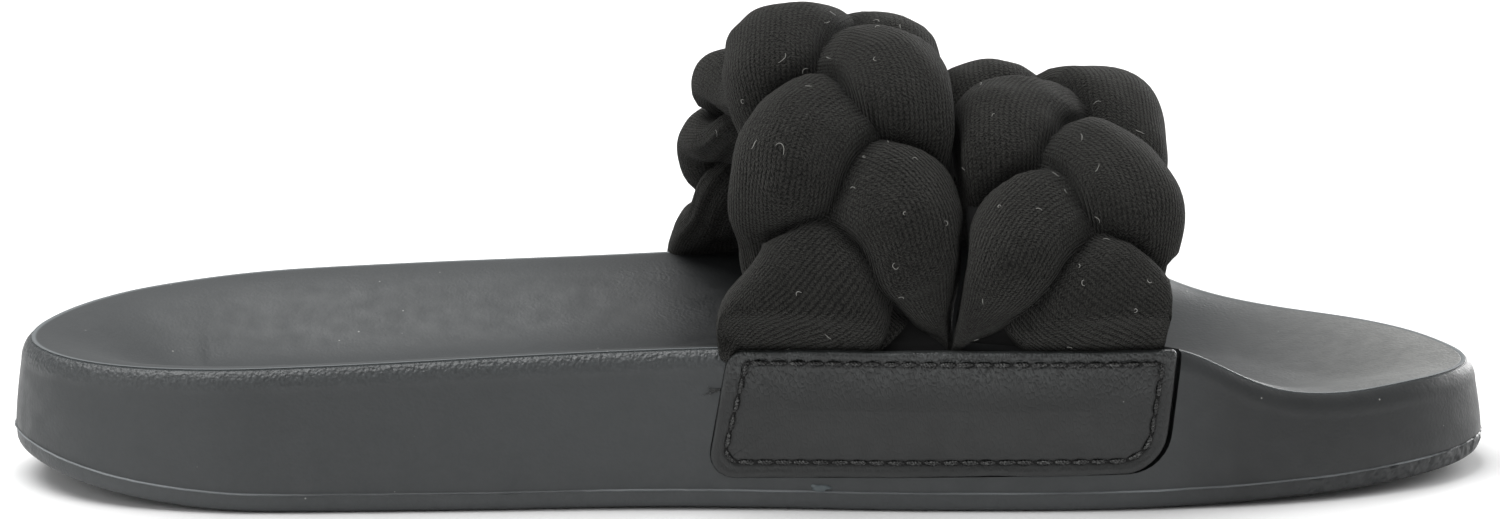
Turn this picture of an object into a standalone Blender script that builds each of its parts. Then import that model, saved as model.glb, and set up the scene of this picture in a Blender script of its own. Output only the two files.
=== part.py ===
"""A slide sandal for the left foot, with two padded three-strand braids over the instep.

Frame: +X towards the toes, -Y the inner (big-toe) side, +Y the outer side, +Z up, the ground at Z = 0.
All tables and sizes below are in millimetres and are turned into metres by MM when meshes are made.
"""

import math

import bmesh
import bpy
import numpy as np

MM = 0.001

# ---------------------------------------------------------------- driving sizes
SOLE_LENGTH = 265.0
HALF_LENGTH = SOLE_LENGTH / 2
OUTSOLE_THICKNESS = 3.5  # height of the mould's parting line above the ground
GAP = 0.3  # clearance kept between separate pieces
HEEL_RISE = 5.7  # how far the outsole lifts behind the heel
HEEL_RISE_START = -84.0
TOE_SPRING = 2.7  # how far it lifts under the toes
TOE_SPRING_START = 42.0
OUTLINE_STEPS = 34  # outline points from heel to toe on each side
CREST_INSET = 4.6  # the rim's highest line, in from the side wall
WALL_DRAFT = 1.1  # the side wall leans in by this much at its top
RIM_RADIUS = 4.2
FOOTBED_RINGS = (0.1, 0.24, 0.42, 0.64, 0.84, 1.0)
DISH_REACH = 26.0  # the footbed reaches its full depth this far in from the rim

# The sole's outline from above: x, inner half-width, outer half-width.
OUTLINE = (
    (-132.5, 0.0, 0.0),
    (-129.0, 15.9, 10.8),
    (-122.0, 25.1, 20.2),
    (-110.0, 32.3, 27.7),
    (-90.0, 37.1, 32.2),
    (-60.0, 38.3, 34.6),
    (-30.0, 38.9, 37.0),
    (0.0, 41.2, 41.0),
    (30.0, 44.8, 45.0),
    (60.0, 46.5, 46.5),
    (80.0, 45.2, 43.6),
    (100.0, 41.2, 36.4),
    (115.0, 34.8, 25.4),
    (125.0, 27.4, 12.4),
    (130.0, 20.5, 0.6),
    (132.5, 11.5, -11.5),
)
HEEL_TIP_Y = -2.6  # the heel's rearmost point sits this far towards the inner side

# Heights along the sole: x, inner rim, outer rim, footbed along its middle.
HEIGHTS = (
    (-132.5, 24.9, 25.1, 20.0),
    (-110.0, 25.1, 27.6, 18.4),
    (-80.0, 26.0, 29.6, 18.0),
    (-40.0, 27.7, 30.2, 19.4),
    (0.0, 29.1, 30.3, 20.0),
    (25.0, 29.6, 30.1, 18.6),
    (45.0, 29.7, 29.9, 17.0),
    (62.0, 29.5, 29.1, 15.8),
    (74.0, 28.7, 26.4, 15.2),
    (84.0, 23.6, 22.0, 14.8),
    (94.0, 19.6, 19.7, 14.4),
    (106.0, 18.6, 18.7, 14.2),
    (120.0, 19.2, 18.9, 14.6),
    (132.5, 19.0, 19.2, 15.6),
)

# Side panels, in the wall's own (x, z): corner x, corner z, corner radius.
PANEL_CORNERS = (
    (-6.3, 28.7, 3.4),
    (-10.5, 5.9, 4.2),
    (70.2, 6.8, 8.0),
    (73.0, 28.7, 0.8),
)
PANEL_THICKNESS = 1.8
PANEL_PROUD = 0.5  # the panel stands this far out of the side wall
TAIL_THICKNESS = 2.2  # the braids' flat sewn ends, behind the panels
RECESS_DEPTH = PANEL_THICKNESS + TAIL_THICKNESS + 3 * GAP - PANEL_PROUD
RECESS_TOE_GAP = 1.2  # the recess is this much too long for its panel, on the toe side
SLOT_TOP = 45.0
PANEL_SHIFT = {-1: 0.0, 1: -4.4}  # along x, on the inner and the outer side
TAIL_BOTTOM = 11.0
TAIL_TOP = 31.8
TAIL_SPLIT = 33.4  # the x between the two braids' tails

# The two braids. Each runs over the foot from the inner wall to the outer one.
# wall: half-width of the sole there, inner and outer. top: the mid-line's highest point.
# fullness: how square the arch is, on the inner and the outer side.
# centre_x: the mid-line's x at five even steps along it.
# crossings: the mid-line's running lengths at which one strand after another comes out on top.
BRAIDS = {
    "braid_rear": {
        "wall": (42.4, 42.6),
        "top": 71.4,
        "fullness": (2.15, 1.6),
        "centre_x": (13.7, 14.4, 13.4, 10.0, 8.6),
        "crossings": (-10.5, 11.2, 23.0, 35.0, 48.0, 60.5, 75.5, 84.5, 94.0, 103.0, 114.0, 126.0),
        "mirror": 1.0,
    },
    "braid_front": {
        "wall": (46.0, 46.2),
        "top": 60.4,
        "fullness": (2.25, 1.65),
        "centre_x": (52.9, 54.0, 53.8, 51.0, 49.4),
        "crossings": (0.5, 5.4, 18.0, 30.2, 44.8, 57.5, 68.5, 80.5, 92.5, 104.5, 116.5, 128.5),
        "mirror": -1.0,
    },
}
CROSSING_TURN = 155.0  # degrees of a strand's swing at the third crossing listed
STRAND_SWING = 10.4  # a strand's path swings this far each way
STRAND_SQUARE = 1.7  # how quickly it crosses over, against running along the edge
STRAND_LIFT = 4.8  # and rises and dips by this much as it crosses
STRAND_LEAD = 14.0  # degrees by which it rises before it swings
STRAND_HALF_WIDTH = 10.4
STRAND_HALF_THICKNESS = 7.3
STRAND_SWELL = 0.08  # a strand is this much fuller where it comes out on top, and thinner under one
STRAND_TAPER = 0.20  # and is drawn in by this much where it turns under at the edge
INNER_SHARE = 0.62  # the side towards the foot is this much flatter
BASE_SPREAD = 0.12  # the swing is this much wider at a braid's ends
CORE_HALF_WIDTH = 12.5
CORE_HALF_THICKNESS = 4.6
ARCH_INSET = 8.8  # the arch's mid-line, in from the wall at the rim
ARCH_BASE_Z = 31.0
STRAND_END_Z = 26.5
BRAID_BOTTOM_Z = 30.7  # the braids' flat undersides, just clear of the rim and the panels
GATHER_REACH = 16.0  # the strands flatten over this length towards their ends
GATHER_SHARE = 0.68  # down to this share of their thickness and lift
STRAND_STEP = 4.4  # ring spacing along the mid-line
STRAND_SIDES = 12

# Tread: x of each straight groove in the outsole's underside.
TREAD_X = (-116.0, -102.0, -88.0, -74.0, -60.0, 26.0, 40.0, 54.0, 68.0, 82.0, 96.0, 110.0)
TREAD_WIDTH = 2.2
TREAD_DEPTH = 1.3
TREAD_MARGIN = 9.0  # the grooves end this far in from the outline
LIP = 0.25  # the outsole's top edge stands this far out of the wall
ARCH_LIFT = 0.0  # the outsole lifts this much between the heel and the forefoot
ARCH_CENTRE = -14.0
ARCH_REACH = 38.0

# colour (linear), roughness
MATERIALS = {
    "midsole": ((0.072, 0.078, 0.082), 0.55),
    "outsole": ((0.060, 0.065, 0.068), 0.65),
    "side_panel_inner": ((0.030, 0.032, 0.033), 0.45),
    "side_panel_outer": ((0.030, 0.032, 0.033), 0.45),
    "braid_rear": ((0.013, 0.013, 0.012), 0.95),
    "braid_front": ((0.013, 0.013, 0.012), 0.95),
}


# ---------------------------------------------------------------- small mathematics
def column(table, index):
    return np.array([row[index] for row in table], float)


def monotone(xs, ys, x):
    """A smooth curve through a table's points that adds no bumps between them."""
    xs, ys = np.asarray(xs, float), np.asarray(ys, float)
    h = np.diff(xs)
    slope = np.diff(ys) / h
    m = np.zeros(len(xs))
    for i in range(1, len(xs) - 1):
        if slope[i - 1] * slope[i] > 0:
            w1, w2 = 2 * h[i] + h[i - 1], h[i] + 2 * h[i - 1]
            m[i] = (w1 + w2) / (w1 / slope[i - 1] + w2 / slope[i])
    m[0], m[-1] = slope[0], slope[-1]
    x = np.clip(np.asarray(x, float), xs[0], xs[-1])
    k = np.clip(np.searchsorted(xs, x) - 1, 0, len(xs) - 2)
    t = (x - xs[k]) / h[k]
    return (
        (2 * t**3 - 3 * t**2 + 1) * ys[k]
        + (t**3 - 2 * t**2 + t) * h[k] * m[k]
        + (-2 * t**3 + 3 * t**2) * ys[k + 1]
        + (t**3 - t**2) * h[k] * m[k + 1]
    )


def smoothstep(low, high, x):
    t = np.clip((np.asarray(x, float) - low) / (high - low), 0.0, 1.0)
    return t * t * (3 - 2 * t)


# ---------------------------------------------------------------- the sole's shape
def half_width(x, side):
    """Half-width of the sole at x: side -1 is the inner side and +1 the outer one."""
    turn = np.arcsin(np.clip(np.asarray(x, float) / HALF_LENGTH, -1, 1))
    turns = np.arcsin(column(OUTLINE, 0) / HALF_LENGTH)
    values = column(OUTLINE, 1 if side < 0 else 2).copy()
    values[0] = -HEEL_TIP_Y if side < 0 else HEEL_TIP_Y
    return monotone(turns, values, turn)


def ground_rise(x):
    """Height of the outsole's underside: the heel's rise, the toe spring and a slight arch."""
    x = np.asarray(x, float)
    heel = np.clip((HEEL_RISE_START - x) / (HEEL_RISE_START + HALF_LENGTH), 0, 1)
    toe = np.clip((x - TOE_SPRING_START) / (HALF_LENGTH - TOE_SPRING_START), 0, 1)
    arch = np.clip(1 - ((x - ARCH_CENTRE) / ARCH_REACH) ** 2, 0, 1) ** 2
    return HEEL_RISE * heel**2.2 + TOE_SPRING * toe**2.2 + ARCH_LIFT * arch


def rim_height(x, share_outer):
    """Height of the rim: share_outer is 0 on the inner side and 1 on the outer one."""
    inner = monotone(column(HEIGHTS, 0), column(HEIGHTS, 1), x)
    outer = monotone(column(HEIGHTS, 0), column(HEIGHTS, 2), x)
    return inner * (1 - share_outer) + outer * share_outer


def outline_ring():
    """The outline as pairs (inner point, outer point) from heel to toe, and each point's inward normal."""
    turn = np.linspace(-math.pi / 2, math.pi / 2, OUTLINE_STEPS + 1)
    x = HALF_LENGTH * np.sin(turn)
    inner = np.stack([x, -half_width(x, -1)], 1)
    outer = np.stack([x, half_width(x, 1)], 1)
    # One closed loop: inner side heel to toe, then the outer side back.
    loop = np.concatenate([inner, outer[-2:0:-1]])
    ahead, behind = np.roll(loop, -1, 0), np.roll(loop, 1, 0)
    tangent = ahead - behind
    tangent /= np.linalg.norm(tangent, axis=1)[:, None]
    inward = np.stack([-tangent[:, 1], tangent[:, 0]], 1)
    return loop, inward


def outer_share(loop):
    """0 on the inner side's points, 1 on the outer side's, and between them across the tips."""
    count = len(loop)
    share = np.zeros(count)
    half = OUTLINE_STEPS
    share[half + 1 :] = 1.0
    share[0] = share[half] = 0.5
    return share


def spine_of(loop):
    """The line down the middle of the footbed that its rings close onto."""
    x = np.clip(loop[:, 0], -98.0, 92.0)
    centre = (half_width(x, 1) - half_width(x, -1)) / 2
    return np.stack([x, centre], 1)


def footbed_height(x, rim, inset):
    """The dished footbed: the rim's height at its crest, and the middle's height DISH_REACH further in."""
    middle = monotone(column(HEIGHTS, 0), column(HEIGHTS, 3), x)
    fall = smoothstep(0.0, DISH_REACH, inset - CREST_INSET) * 0.75 + 0.25 * np.clip(
        (inset - CREST_INSET) / DISH_REACH, 0, 1
    )
    return rim - (rim - middle) * fall

def parting(x):
    return ground_rise(x) + OUTSOLE_THICKNESS


def wall_inset(x, z, side):
    """How far the drafted side wall has leaned in at height z."""
    low = parting(x)
    high = rim_height(x, 0.0 if side < 0 else 1.0) - RIM_RADIUS
    return WALL_DRAFT * np.clip((z - low) / (high - low), 0, 1) ** 1.5


# ---------------------------------------------------------------- mesh helpers
def finish_mesh(bm, name, collection, triangulate=True):
    """Closes a bmesh drawn in millimetres into an object in metres."""
    bmesh.ops.remove_doubles(bm, verts=bm.verts, dist=1e-4)
    bmesh.ops.dissolve_degenerate(bm, dist=1e-4, edges=bm.edges)
    bmesh.ops.recalc_face_normals(bm, faces=bm.faces)
    if triangulate:
        bmesh.ops.triangulate(bm, faces=bm.faces)
    for vert in bm.verts:
        vert.co *= MM
    mesh = bpy.data.meshes.new(name)
    bm.to_mesh(mesh)
    bm.free()
    obj = bpy.data.objects.new(name, mesh)
    collection.objects.link(obj)
    return obj


def loft(rings, name, collection, caps=True):
    """Skins closed rings of equal count, in order, and fills the first and the last."""
    bm = bmesh.new()
    rows = [[bm.verts.new(point) for point in ring] for ring in rings]
    count = len(rows[0])
    for low, high in zip(rows, rows[1:]):
        for i in range(count):
            j = (i + 1) % count
            bm.faces.new((low[i], low[j], high[j], high[i]))
    if caps:
        bm.faces.new(rows[0][::-1])
        bm.faces.new(rows[-1])
    return finish_mesh(bm, name, collection)


def boolean(obj, other, operation):
    modifier = obj.modifiers.new(f"{operation.lower()}_{other.name}", "BOOLEAN")
    modifier.operation = operation
    modifier.solver = "EXACT"
    modifier.object = other


def bake(obj):
    """Turns an object's modifiers into plain faces."""
    bpy.context.view_layer.update()
    graph = bpy.context.evaluated_depsgraph_get()
    mesh = bpy.data.meshes.new_from_object(obj.evaluated_get(graph))
    obj.modifiers.clear()
    old = obj.data
    obj.data = mesh
    name = obj.name
    bpy.data.meshes.remove(old)
    mesh.name = name
    bm = bmesh.new()
    bm.from_mesh(mesh)
    bmesh.ops.remove_doubles(bm, verts=bm.verts, dist=1e-7)
    bmesh.ops.triangulate(bm, faces=bm.faces)
    bm.to_mesh(mesh)
    bm.free()


# ---------------------------------------------------------------- the sole
def bridge_across(bm, row, flip):
    """Fills a loop from side to side, pairing each inner point with the outer point at the same x."""
    half = OUTLINE_STEPS
    count = len(row)
    for i in range(half):
        inner_a, inner_b = row[i], row[i + 1]
        outer_a, outer_b = row[(count - i) % count], row[count - i - 1]
        corners = [inner_a, inner_b, outer_b, outer_a]
        unique = []
        for corner in corners:
            if corner not in unique:
                unique.append(corner)
        bm.faces.new(unique[::-1] if flip else unique)


def skin(bm, rows):
    count = len(rows[0])
    for low, high in zip(rows, rows[1:]):
        for i in range(count):
            j = (i + 1) % count
            bm.faces.new((low[i], low[j], high[j], high[i]))


def make_midsole(collection):
    """One moulded piece: side wall, rounded rim and dished footbed."""
    loop, inward = outline_ring()
    share = outer_share(loop)
    x = loop[:, 0]
    rim = rim_height(x, share)
    low = parting(x) + GAP
    shoulder = rim - RIM_RADIUS
    rings = []
    for t in (0.0, 0.35, 0.7, 1.0):
        inset = WALL_DRAFT * t**1.5
        z = low + (shoulder - low) * t
        rings.append((loop + inward * inset, z))
    for angle in (24.0, 48.0, 69.0, 90.0):
        turn = math.radians(angle)
        inset = WALL_DRAFT + (CREST_INSET - WALL_DRAFT) * (1 - math.cos(turn))
        z = shoulder + RIM_RADIUS * math.sin(turn)
        rings.append((loop + inward * inset, z))
    crest = loop + inward * CREST_INSET
    spine = spine_of(loop)
    reach = np.linalg.norm(spine - crest, axis=1)
    for fraction in FOOTBED_RINGS:
        place = crest + (spine - crest) * fraction
        inset = CREST_INSET + reach * fraction
        rings.append((place, footbed_height(place[:, 0], rim, inset)))
    bm = bmesh.new()
    rows = [
        [bm.verts.new((p[0], p[1], h)) for p, h in zip(place, z)] for place, z in rings
    ]
    bridge_across(bm, rows[0], True)
    skin(bm, rows)
    return finish_mesh(bm, "midsole", collection)


def make_outsole(collection):
    """The thin bottom layer, with a slight lip along its top edge."""
    loop, inward = outline_ring()
    x = loop[:, 0]
    rise = ground_rise(x)
    bm = bmesh.new()
    rows = []
    for inset, height in (
        (1.3, 0.0),
        (0.5, 0.5),
        (0.1, 1.6),
        (0.0, OUTSOLE_THICKNESS - 0.7),
        (-LIP, OUTSOLE_THICKNESS - 0.35),
        (-LIP, OUTSOLE_THICKNESS),
    ):
        place = loop + inward * inset
        rows.append(
            [bm.verts.new((p[0], p[1], r + height)) for p, r in zip(place, rise)]
        )
    bridge_across(bm, rows[0], True)
    skin(bm, rows)
    bridge_across(bm, rows[-1], False)
    return finish_mesh(bm, "outsole", collection)


def make_groove(x, collection):
    """A straight tread groove: a box that follows the underside's rise."""
    inner = float(half_width(x, -1)) - TREAD_MARGIN
    outer = float(half_width(x, 1)) - TREAD_MARGIN
    base = float(ground_rise(x))
    bm = bmesh.new()
    bmesh.ops.create_cube(bm, size=1.0)
    for vert in bm.verts:
        vert.co.x = x + vert.co.x * TREAD_WIDTH
        vert.co.y = -inner if vert.co.y < 0 else outer
        vert.co.z = base + (TREAD_DEPTH if vert.co.z > 0 else -2.0)
    return finish_mesh(bm, f"groove_cutter_{x:.0f}", collection)


# ---------------------------------------------------------------- slabs that follow the side wall
def rounded(corners, steps=5):
    """A polygon with rounded corners, as (x, z) points."""
    points = []
    count = len(corners)
    for i, (cx, cz, radius) in enumerate(corners):
        here = np.array([cx, cz])
        before = np.array(corners[i - 1][:2]) - here
        after = np.array(corners[(i + 1) % count][:2]) - here
        before /= np.linalg.norm(before)
        after /= np.linalg.norm(after)
        half = math.acos(float(np.clip(before @ after, -1, 1))) / 2
        run = radius / math.tan(half)
        middle = before + after
        centre = here + middle / np.linalg.norm(middle) * (radius / math.sin(half))
        start, end = here + before * run - centre, here + after * run - centre
        turn = math.atan2(start[0] * end[1] - start[1] * end[0], float(start @ end))
        for k in range(steps + 1):
            angle = turn * k / steps
            c, s = math.cos(angle), math.sin(angle)
            points.append(
                centre
                + np.array([c * start[0] - s * start[1], s * start[0] + c * start[1]])
            )
    return points


def grown(corners, by, toe_by=None):
    """The same rounded polygon, larger by this much all round."""
    toe_by = by if toe_by is None else toe_by
    mid_x = sum(c[0] for c in corners) / len(corners)
    mid_z = sum(c[1] for c in corners) / len(corners)
    return tuple(
        (
            cx + (toe_by if cx > mid_x else -by),
            cz + (by if cz > mid_z else -by),
            radius + by,
        )
        for cx, cz, radius in corners
    )


def make_slab(points, side, out, thickness, shift, name, collection):
    """A slab of even thickness with the outline points, its outer face standing out of the wall by out."""
    bm = bmesh.new()
    face = bm.faces.new([bm.verts.new((p[0], 0.0, p[1])) for p in points])
    made = bmesh.ops.extrude_face_region(bm, geom=[face])
    for item in made["geom"]:
        if isinstance(item, bmesh.types.BMVert):
            item.co.y = 1.0
    xs = [v.co.x for v in bm.verts]
    zs = [v.co.z for v in bm.verts]
    cuts_x = np.linspace(min(xs), max(xs), max(2, int((max(xs) - min(xs)) / 9)))[1:-1]
    cuts_z = np.linspace(min(zs), max(zs), 5)[1:-1]
    for normal, cuts in (((1, 0, 0), cuts_x), ((0, 0, 1), cuts_z)):
        for cut in cuts:
            bmesh.ops.bisect_plane(
                bm,
                geom=bm.verts[:] + bm.edges[:] + bm.faces[:],
                dist=1e-5,
                plane_co=tuple(float(cut) * n for n in normal),
                plane_no=normal,
            )
    for vert in bm.verts:
        x, z = vert.co.x + shift, vert.co.z
        wall = float(half_width(x, side)) - float(wall_inset(x, z, side))
        vert.co = (x, side * (wall + out - thickness * vert.co.y), z)
    return finish_mesh(bm, name, collection)


# ---------------------------------------------------------------- the braids
def arch_line(size):
    """The braid's mid-line: points, running length, unit tangent and outward normal."""
    turn = np.linspace(0.0, math.pi, 361)
    power = 2.0 / np.where(turn < math.pi / 2, size["fullness"][0], size["fullness"][1])
    inner, outer = (wall - ARCH_INSET for wall in size["wall"])
    across = -np.sign(np.cos(turn)) * np.abs(np.cos(turn)) ** power
    y = np.where(across < 0, across * inner, across * outer)
    z = ARCH_BASE_Z + (size["top"] - ARCH_BASE_Z) * np.abs(np.sin(turn)) ** power
    y = np.concatenate([[y[0]], y, [y[-1]]])
    z = np.concatenate([[STRAND_END_Z], z, [STRAND_END_Z]])
    keep = np.concatenate([[True], np.hypot(np.diff(y), np.diff(z)) > 1e-6])
    y, z = y[keep], z[keep]
    run = np.concatenate([[0.0], np.cumsum(np.hypot(np.diff(y), np.diff(z)))])
    even = np.linspace(0.0, run[-1], 241)
    y, z = np.interp(even, run, y), np.interp(even, run, z)
    x = monotone(np.linspace(0, run[-1], 5), size["centre_x"], even)
    line = np.stack([x, y, z], 1)
    tangent = np.gradient(line, even, axis=0)
    tangent /= np.linalg.norm(tangent, axis=1)[:, None]
    normal = np.stack([np.zeros_like(x), -tangent[:, 2], tangent[:, 1]], 1)
    normal /= np.linalg.norm(normal, axis=1)[:, None]
    return even, line, tangent, normal


def sample(run, values, s):
    return np.stack([np.interp(s, run, values[:, k]) for k in range(3)], 1)


def gather(s, length):
    """1 along the braid, falling to GATHER_SHARE at its two ends."""
    end = np.minimum(s, length - s)
    return GATHER_SHARE + (1 - GATHER_SHARE) * smoothstep(2.0, GATHER_REACH, end)


def strand_path(size, strand, s):
    """A strand's centre-line at running lengths s, the arch's normals there, and the strand's relative size."""
    run, line, _, normal = arch_line(size)
    crossings = size["crossings"]
    passed = monotone(crossings, np.arange(len(crossings)) - 2.0, s)
    turn = math.radians(CROSSING_TURN) - math.pi / 3 * passed + 2 * math.pi * strand / 3
    place = sample(run, line, s)
    out = sample(run, normal, s)
    out /= np.linalg.norm(out, axis=1)[:, None]
    over = np.sin(2 * turn + math.radians(STRAND_LEAD))
    over = np.tanh(1.2 * over) / math.tanh(1.2)
    place = place + out * (STRAND_LIFT * over * gather(s, run[-1]))[:, None]
    sway = np.tanh(STRAND_SQUARE * np.sin(turn)) / math.tanh(STRAND_SQUARE)
    spread = 1 + BASE_SPREAD * (1 - smoothstep(2.0, 20.0, s))
    place[:, 0] += size["mirror"] * STRAND_SWING * sway * spread
    late = (np.degrees(turn) - 118.0 + 90.0) % 180.0 - 90.0
    swell = 1 + STRAND_SWELL * np.cos(2 * turn - math.radians(70.0))
    swell -= STRAND_TAPER * smoothstep(4.0, 24.0, s) * np.exp(-((late / 30.0) ** 2))
    return place, out, swell


def rings_along(path, out, half_width_, half_thickness, sides):
    """Elliptical rings square to a path, flat to the arch."""
    tangent = np.gradient(path, axis=0)
    tangent /= np.linalg.norm(tangent, axis=1)[:, None]
    up = out - tangent * (out * tangent).sum(1)[:, None]
    up /= np.linalg.norm(up, axis=1)[:, None]
    across = np.cross(tangent, up)
    rings = []
    for i in range(len(path)):
        ring = []
        for k in range(sides):
            angle = 2 * math.pi * k / sides
            ring.append(
                path[i]
                + across[i] * half_width_[i] * math.cos(angle)
                + up[i]
                * half_thickness[i]
                * math.sin(angle)
                * (INNER_SHARE if math.sin(angle) < 0 else 1.0)
            )
        rings.append(ring)
    return rings


def make_braid(name, collection, cutters):
    size = BRAIDS[name]
    run, line, _, normal = arch_line(size)
    count = int(round(run[-1] / STRAND_STEP))
    s = np.linspace(0.0, run[-1], count + 1)
    strands = []
    for strand in range(3):
        path, out, swell = strand_path(size, strand, s)
        rings = rings_along(
            path,
            out,
            STRAND_HALF_WIDTH * swell,
            STRAND_HALF_THICKNESS * swell * gather(s, run[-1]),
            STRAND_SIDES,
        )
        own = name if strand == 0 else f"{name}_strand_{strand + 1}"
        strands.append(loft(rings, own, collection if strand == 0 else cutters))
    wide = np.linspace(0.0, run[-1], max(8, count // 2))
    ones = np.ones(len(wide))
    core = loft(
        rings_along(
            sample(run, line, wide),
            sample(run, normal, wide),
            CORE_HALF_WIDTH * ones,
            CORE_HALF_THICKNESS * ones,
            8,
        ),
        f"{name}_filling",
        cutters,
    )
    braid = strands[0]
    for other in (strands[1], strands[2], core):
        boolean(braid, other, "UNION")
    bake(braid)
    return braid


def make_prism(points, low, high, name, collection):
    """A plan outline (x, y) raised from one height to another."""
    bm = bmesh.new()
    face = bm.faces.new([bm.verts.new((p[0], p[1], low)) for p in points])
    made = bmesh.ops.extrude_face_region(bm, geom=[face])
    for item in made["geom"]:
        if isinstance(item, bmesh.types.BMVert):
            item.co.z = high
    return finish_mesh(bm, name, collection)


def valley_line():
    """Where the two braids press together, from above: x at each y."""
    rear, front = BRAIDS["braid_rear"], BRAIDS["braid_front"]
    points = []
    for k, y in enumerate((-70.0, -38.0, 0.0, 34.0, 70.0)):
        x = (rear["centre_x"][k] + front["centre_x"][k]) / 2
        points.append((x, y))
    return points


def paint(obj):
    colour, roughness = MATERIALS[obj.name]
    material = bpy.data.materials.new(obj.name)
    material.use_nodes = True
    shader = material.node_tree.nodes["Principled BSDF"]
    shader.inputs["Base Color"].default_value = (*colour, 1.0)
    shader.inputs["Roughness"].default_value = roughness
    shader.inputs["Metallic"].default_value = 0.0
    obj.data.materials.clear()
    obj.data.materials.append(material)
    obj.data.shade_smooth()
    obj.data.set_sharp_from_angle(angle=math.radians(32.0))


def main():
    for obj in list(bpy.data.objects):
        bpy.data.objects.remove(obj, do_unlink=True)
    scene = bpy.context.scene
    sandal = bpy.data.collections.new("slide_sandal")
    cutters = bpy.data.collections.new("cutters")
    scene.collection.children.link(sandal)
    scene.collection.children.link(cutters)
    cutters.hide_render = True

    midsole = make_midsole(sandal)
    outsole = make_outsole(sandal)
    for x in TREAD_X:
        boolean(outsole, make_groove(x, cutters), "DIFFERENCE")
    bake(outsole)

    tails = {}
    for side, word in ((-1, "inner"), (1, "outer")):
        shift = PANEL_SHIFT[side]
        panel = rounded(PANEL_CORNERS)
        make_slab(
            panel, side, PANEL_PROUD, PANEL_THICKNESS, shift, f"side_panel_{word}", sandal
        )
        room = rounded(grown(PANEL_CORNERS, GAP, RECESS_TOE_GAP))
        pocket = make_slab(
            room, side, 4.0, 4.0 + RECESS_DEPTH, shift, f"recess_cutter_{word}", cutters
        )
        boolean(midsole, pocket, "DIFFERENCE")
        left = PANEL_CORNERS[0][0] - 0.6
        right = PANEL_CORNERS[3][0] + RECESS_TOE_GAP
        slot = make_slab(
            [(left, 24.0), (right - 0.8, 24.0), (right, SLOT_TOP), (left, SLOT_TOP)],
            side,
            6.0,
            6.0 + RECESS_DEPTH,
            shift,
            f"slot_cutter_{word}",
            cutters,
        )
        boolean(midsole, slot, "DIFFERENCE")
        for name, low, low_base, high_base, high in (
            ("braid_rear", left + 0.7, left + 2.7, TAIL_SPLIT - 2.5, TAIL_SPLIT - 0.4),
            (
                "braid_front",
                TAIL_SPLIT + 0.4,
                TAIL_SPLIT + 2.5,
                PANEL_CORNERS[2][0] - 4.0,
                PANEL_CORNERS[3][0] - 1.6,
            ),
        ):
            tails[name, side] = make_slab(
                [
                    (low_base, TAIL_BOTTOM),
                    (high_base, TAIL_BOTTOM),
                    (high, TAIL_TOP),
                    (low, TAIL_TOP),
                ],
                side,
                PANEL_PROUD - PANEL_THICKNESS - GAP,
                TAIL_THICKNESS,
                shift,
                f"{name}_tail_{word}",
                cutters,
            )
    bake(midsole)

    valley = valley_line()
    walls = {
        "braid_rear": make_prism(
            [(x - GAP / 2, y) for x, y in valley] + [(120.0, 70.0), (120.0, -70.0)],
            0.0,
            120.0,
            "rear_trim",
            cutters,
        ),
        "braid_front": make_prism(
            [(x + GAP / 2, y) for x, y in valley] + [(-70.0, 70.0), (-70.0, -70.0)],
            0.0,
            120.0,
            "front_trim",
            cutters,
        ),
    }
    floor = make_prism(
        [(-60.0, -90.0), (130.0, -90.0), (130.0, 90.0), (-60.0, 90.0)],
        0.0,
        BRAID_BOTTOM_Z,
        "braid_underside_trim",
        cutters,
    )
    for name in BRAIDS:
        braid = make_braid(name, sandal, cutters)
        boolean(braid, walls[name], "DIFFERENCE")
        boolean(braid, floor, "DIFFERENCE")
        for side in (-1, 1):
            boolean(braid, tails[name, side], "UNION")
        bake(braid)

    for obj in sandal.objects:
        paint(obj)
    for obj in cutters.objects:
        obj.display_type = "WIRE"
        obj.hide_render = True
    bpy.context.view_layer.update()


main()
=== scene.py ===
"""Looks for the braided slide sandal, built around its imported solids.

Sizes are in millimetres until a mesh is made. Frame: +X to the toes, -Y the inner side, +Z up.
"""

import math

import bmesh
import bpy
import numpy as np
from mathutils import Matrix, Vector
from mathutils.bvhtree import BVHTree


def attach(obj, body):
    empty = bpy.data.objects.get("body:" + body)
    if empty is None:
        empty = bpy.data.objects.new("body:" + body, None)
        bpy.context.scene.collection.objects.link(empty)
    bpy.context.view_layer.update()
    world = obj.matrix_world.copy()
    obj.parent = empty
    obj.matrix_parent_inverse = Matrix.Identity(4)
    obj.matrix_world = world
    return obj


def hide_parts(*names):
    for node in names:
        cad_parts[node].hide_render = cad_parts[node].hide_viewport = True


MM = 0.001
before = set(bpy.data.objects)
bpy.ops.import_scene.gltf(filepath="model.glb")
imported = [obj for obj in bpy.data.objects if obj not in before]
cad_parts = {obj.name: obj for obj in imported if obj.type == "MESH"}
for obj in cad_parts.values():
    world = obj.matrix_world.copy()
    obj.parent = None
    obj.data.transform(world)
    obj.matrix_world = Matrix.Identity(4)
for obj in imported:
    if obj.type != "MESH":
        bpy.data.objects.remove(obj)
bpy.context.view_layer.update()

# ---------------------------------------------------------------- sizes shared with the solids
HALF_LENGTH = 132.5
OUTSOLE_THICKNESS = 3.5
GAP = 0.3
HEEL_RISE, HEEL_RISE_START = 5.7, -84.0
TOE_SPRING, TOE_SPRING_START = 2.7, 42.0
CREST_INSET = 4.6
RIM_RADIUS = 4.2
SHOULDER_INSET = 3.75
SHOULDER_RISE = 4.15
WALL_DRAFT = 1.1
DISH_REACH = 26.0
ARCH_LIFT, ARCH_CENTRE, ARCH_REACH = 0.3, -14.0, 38.0
HEEL_TIP_Y = -2.6

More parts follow.
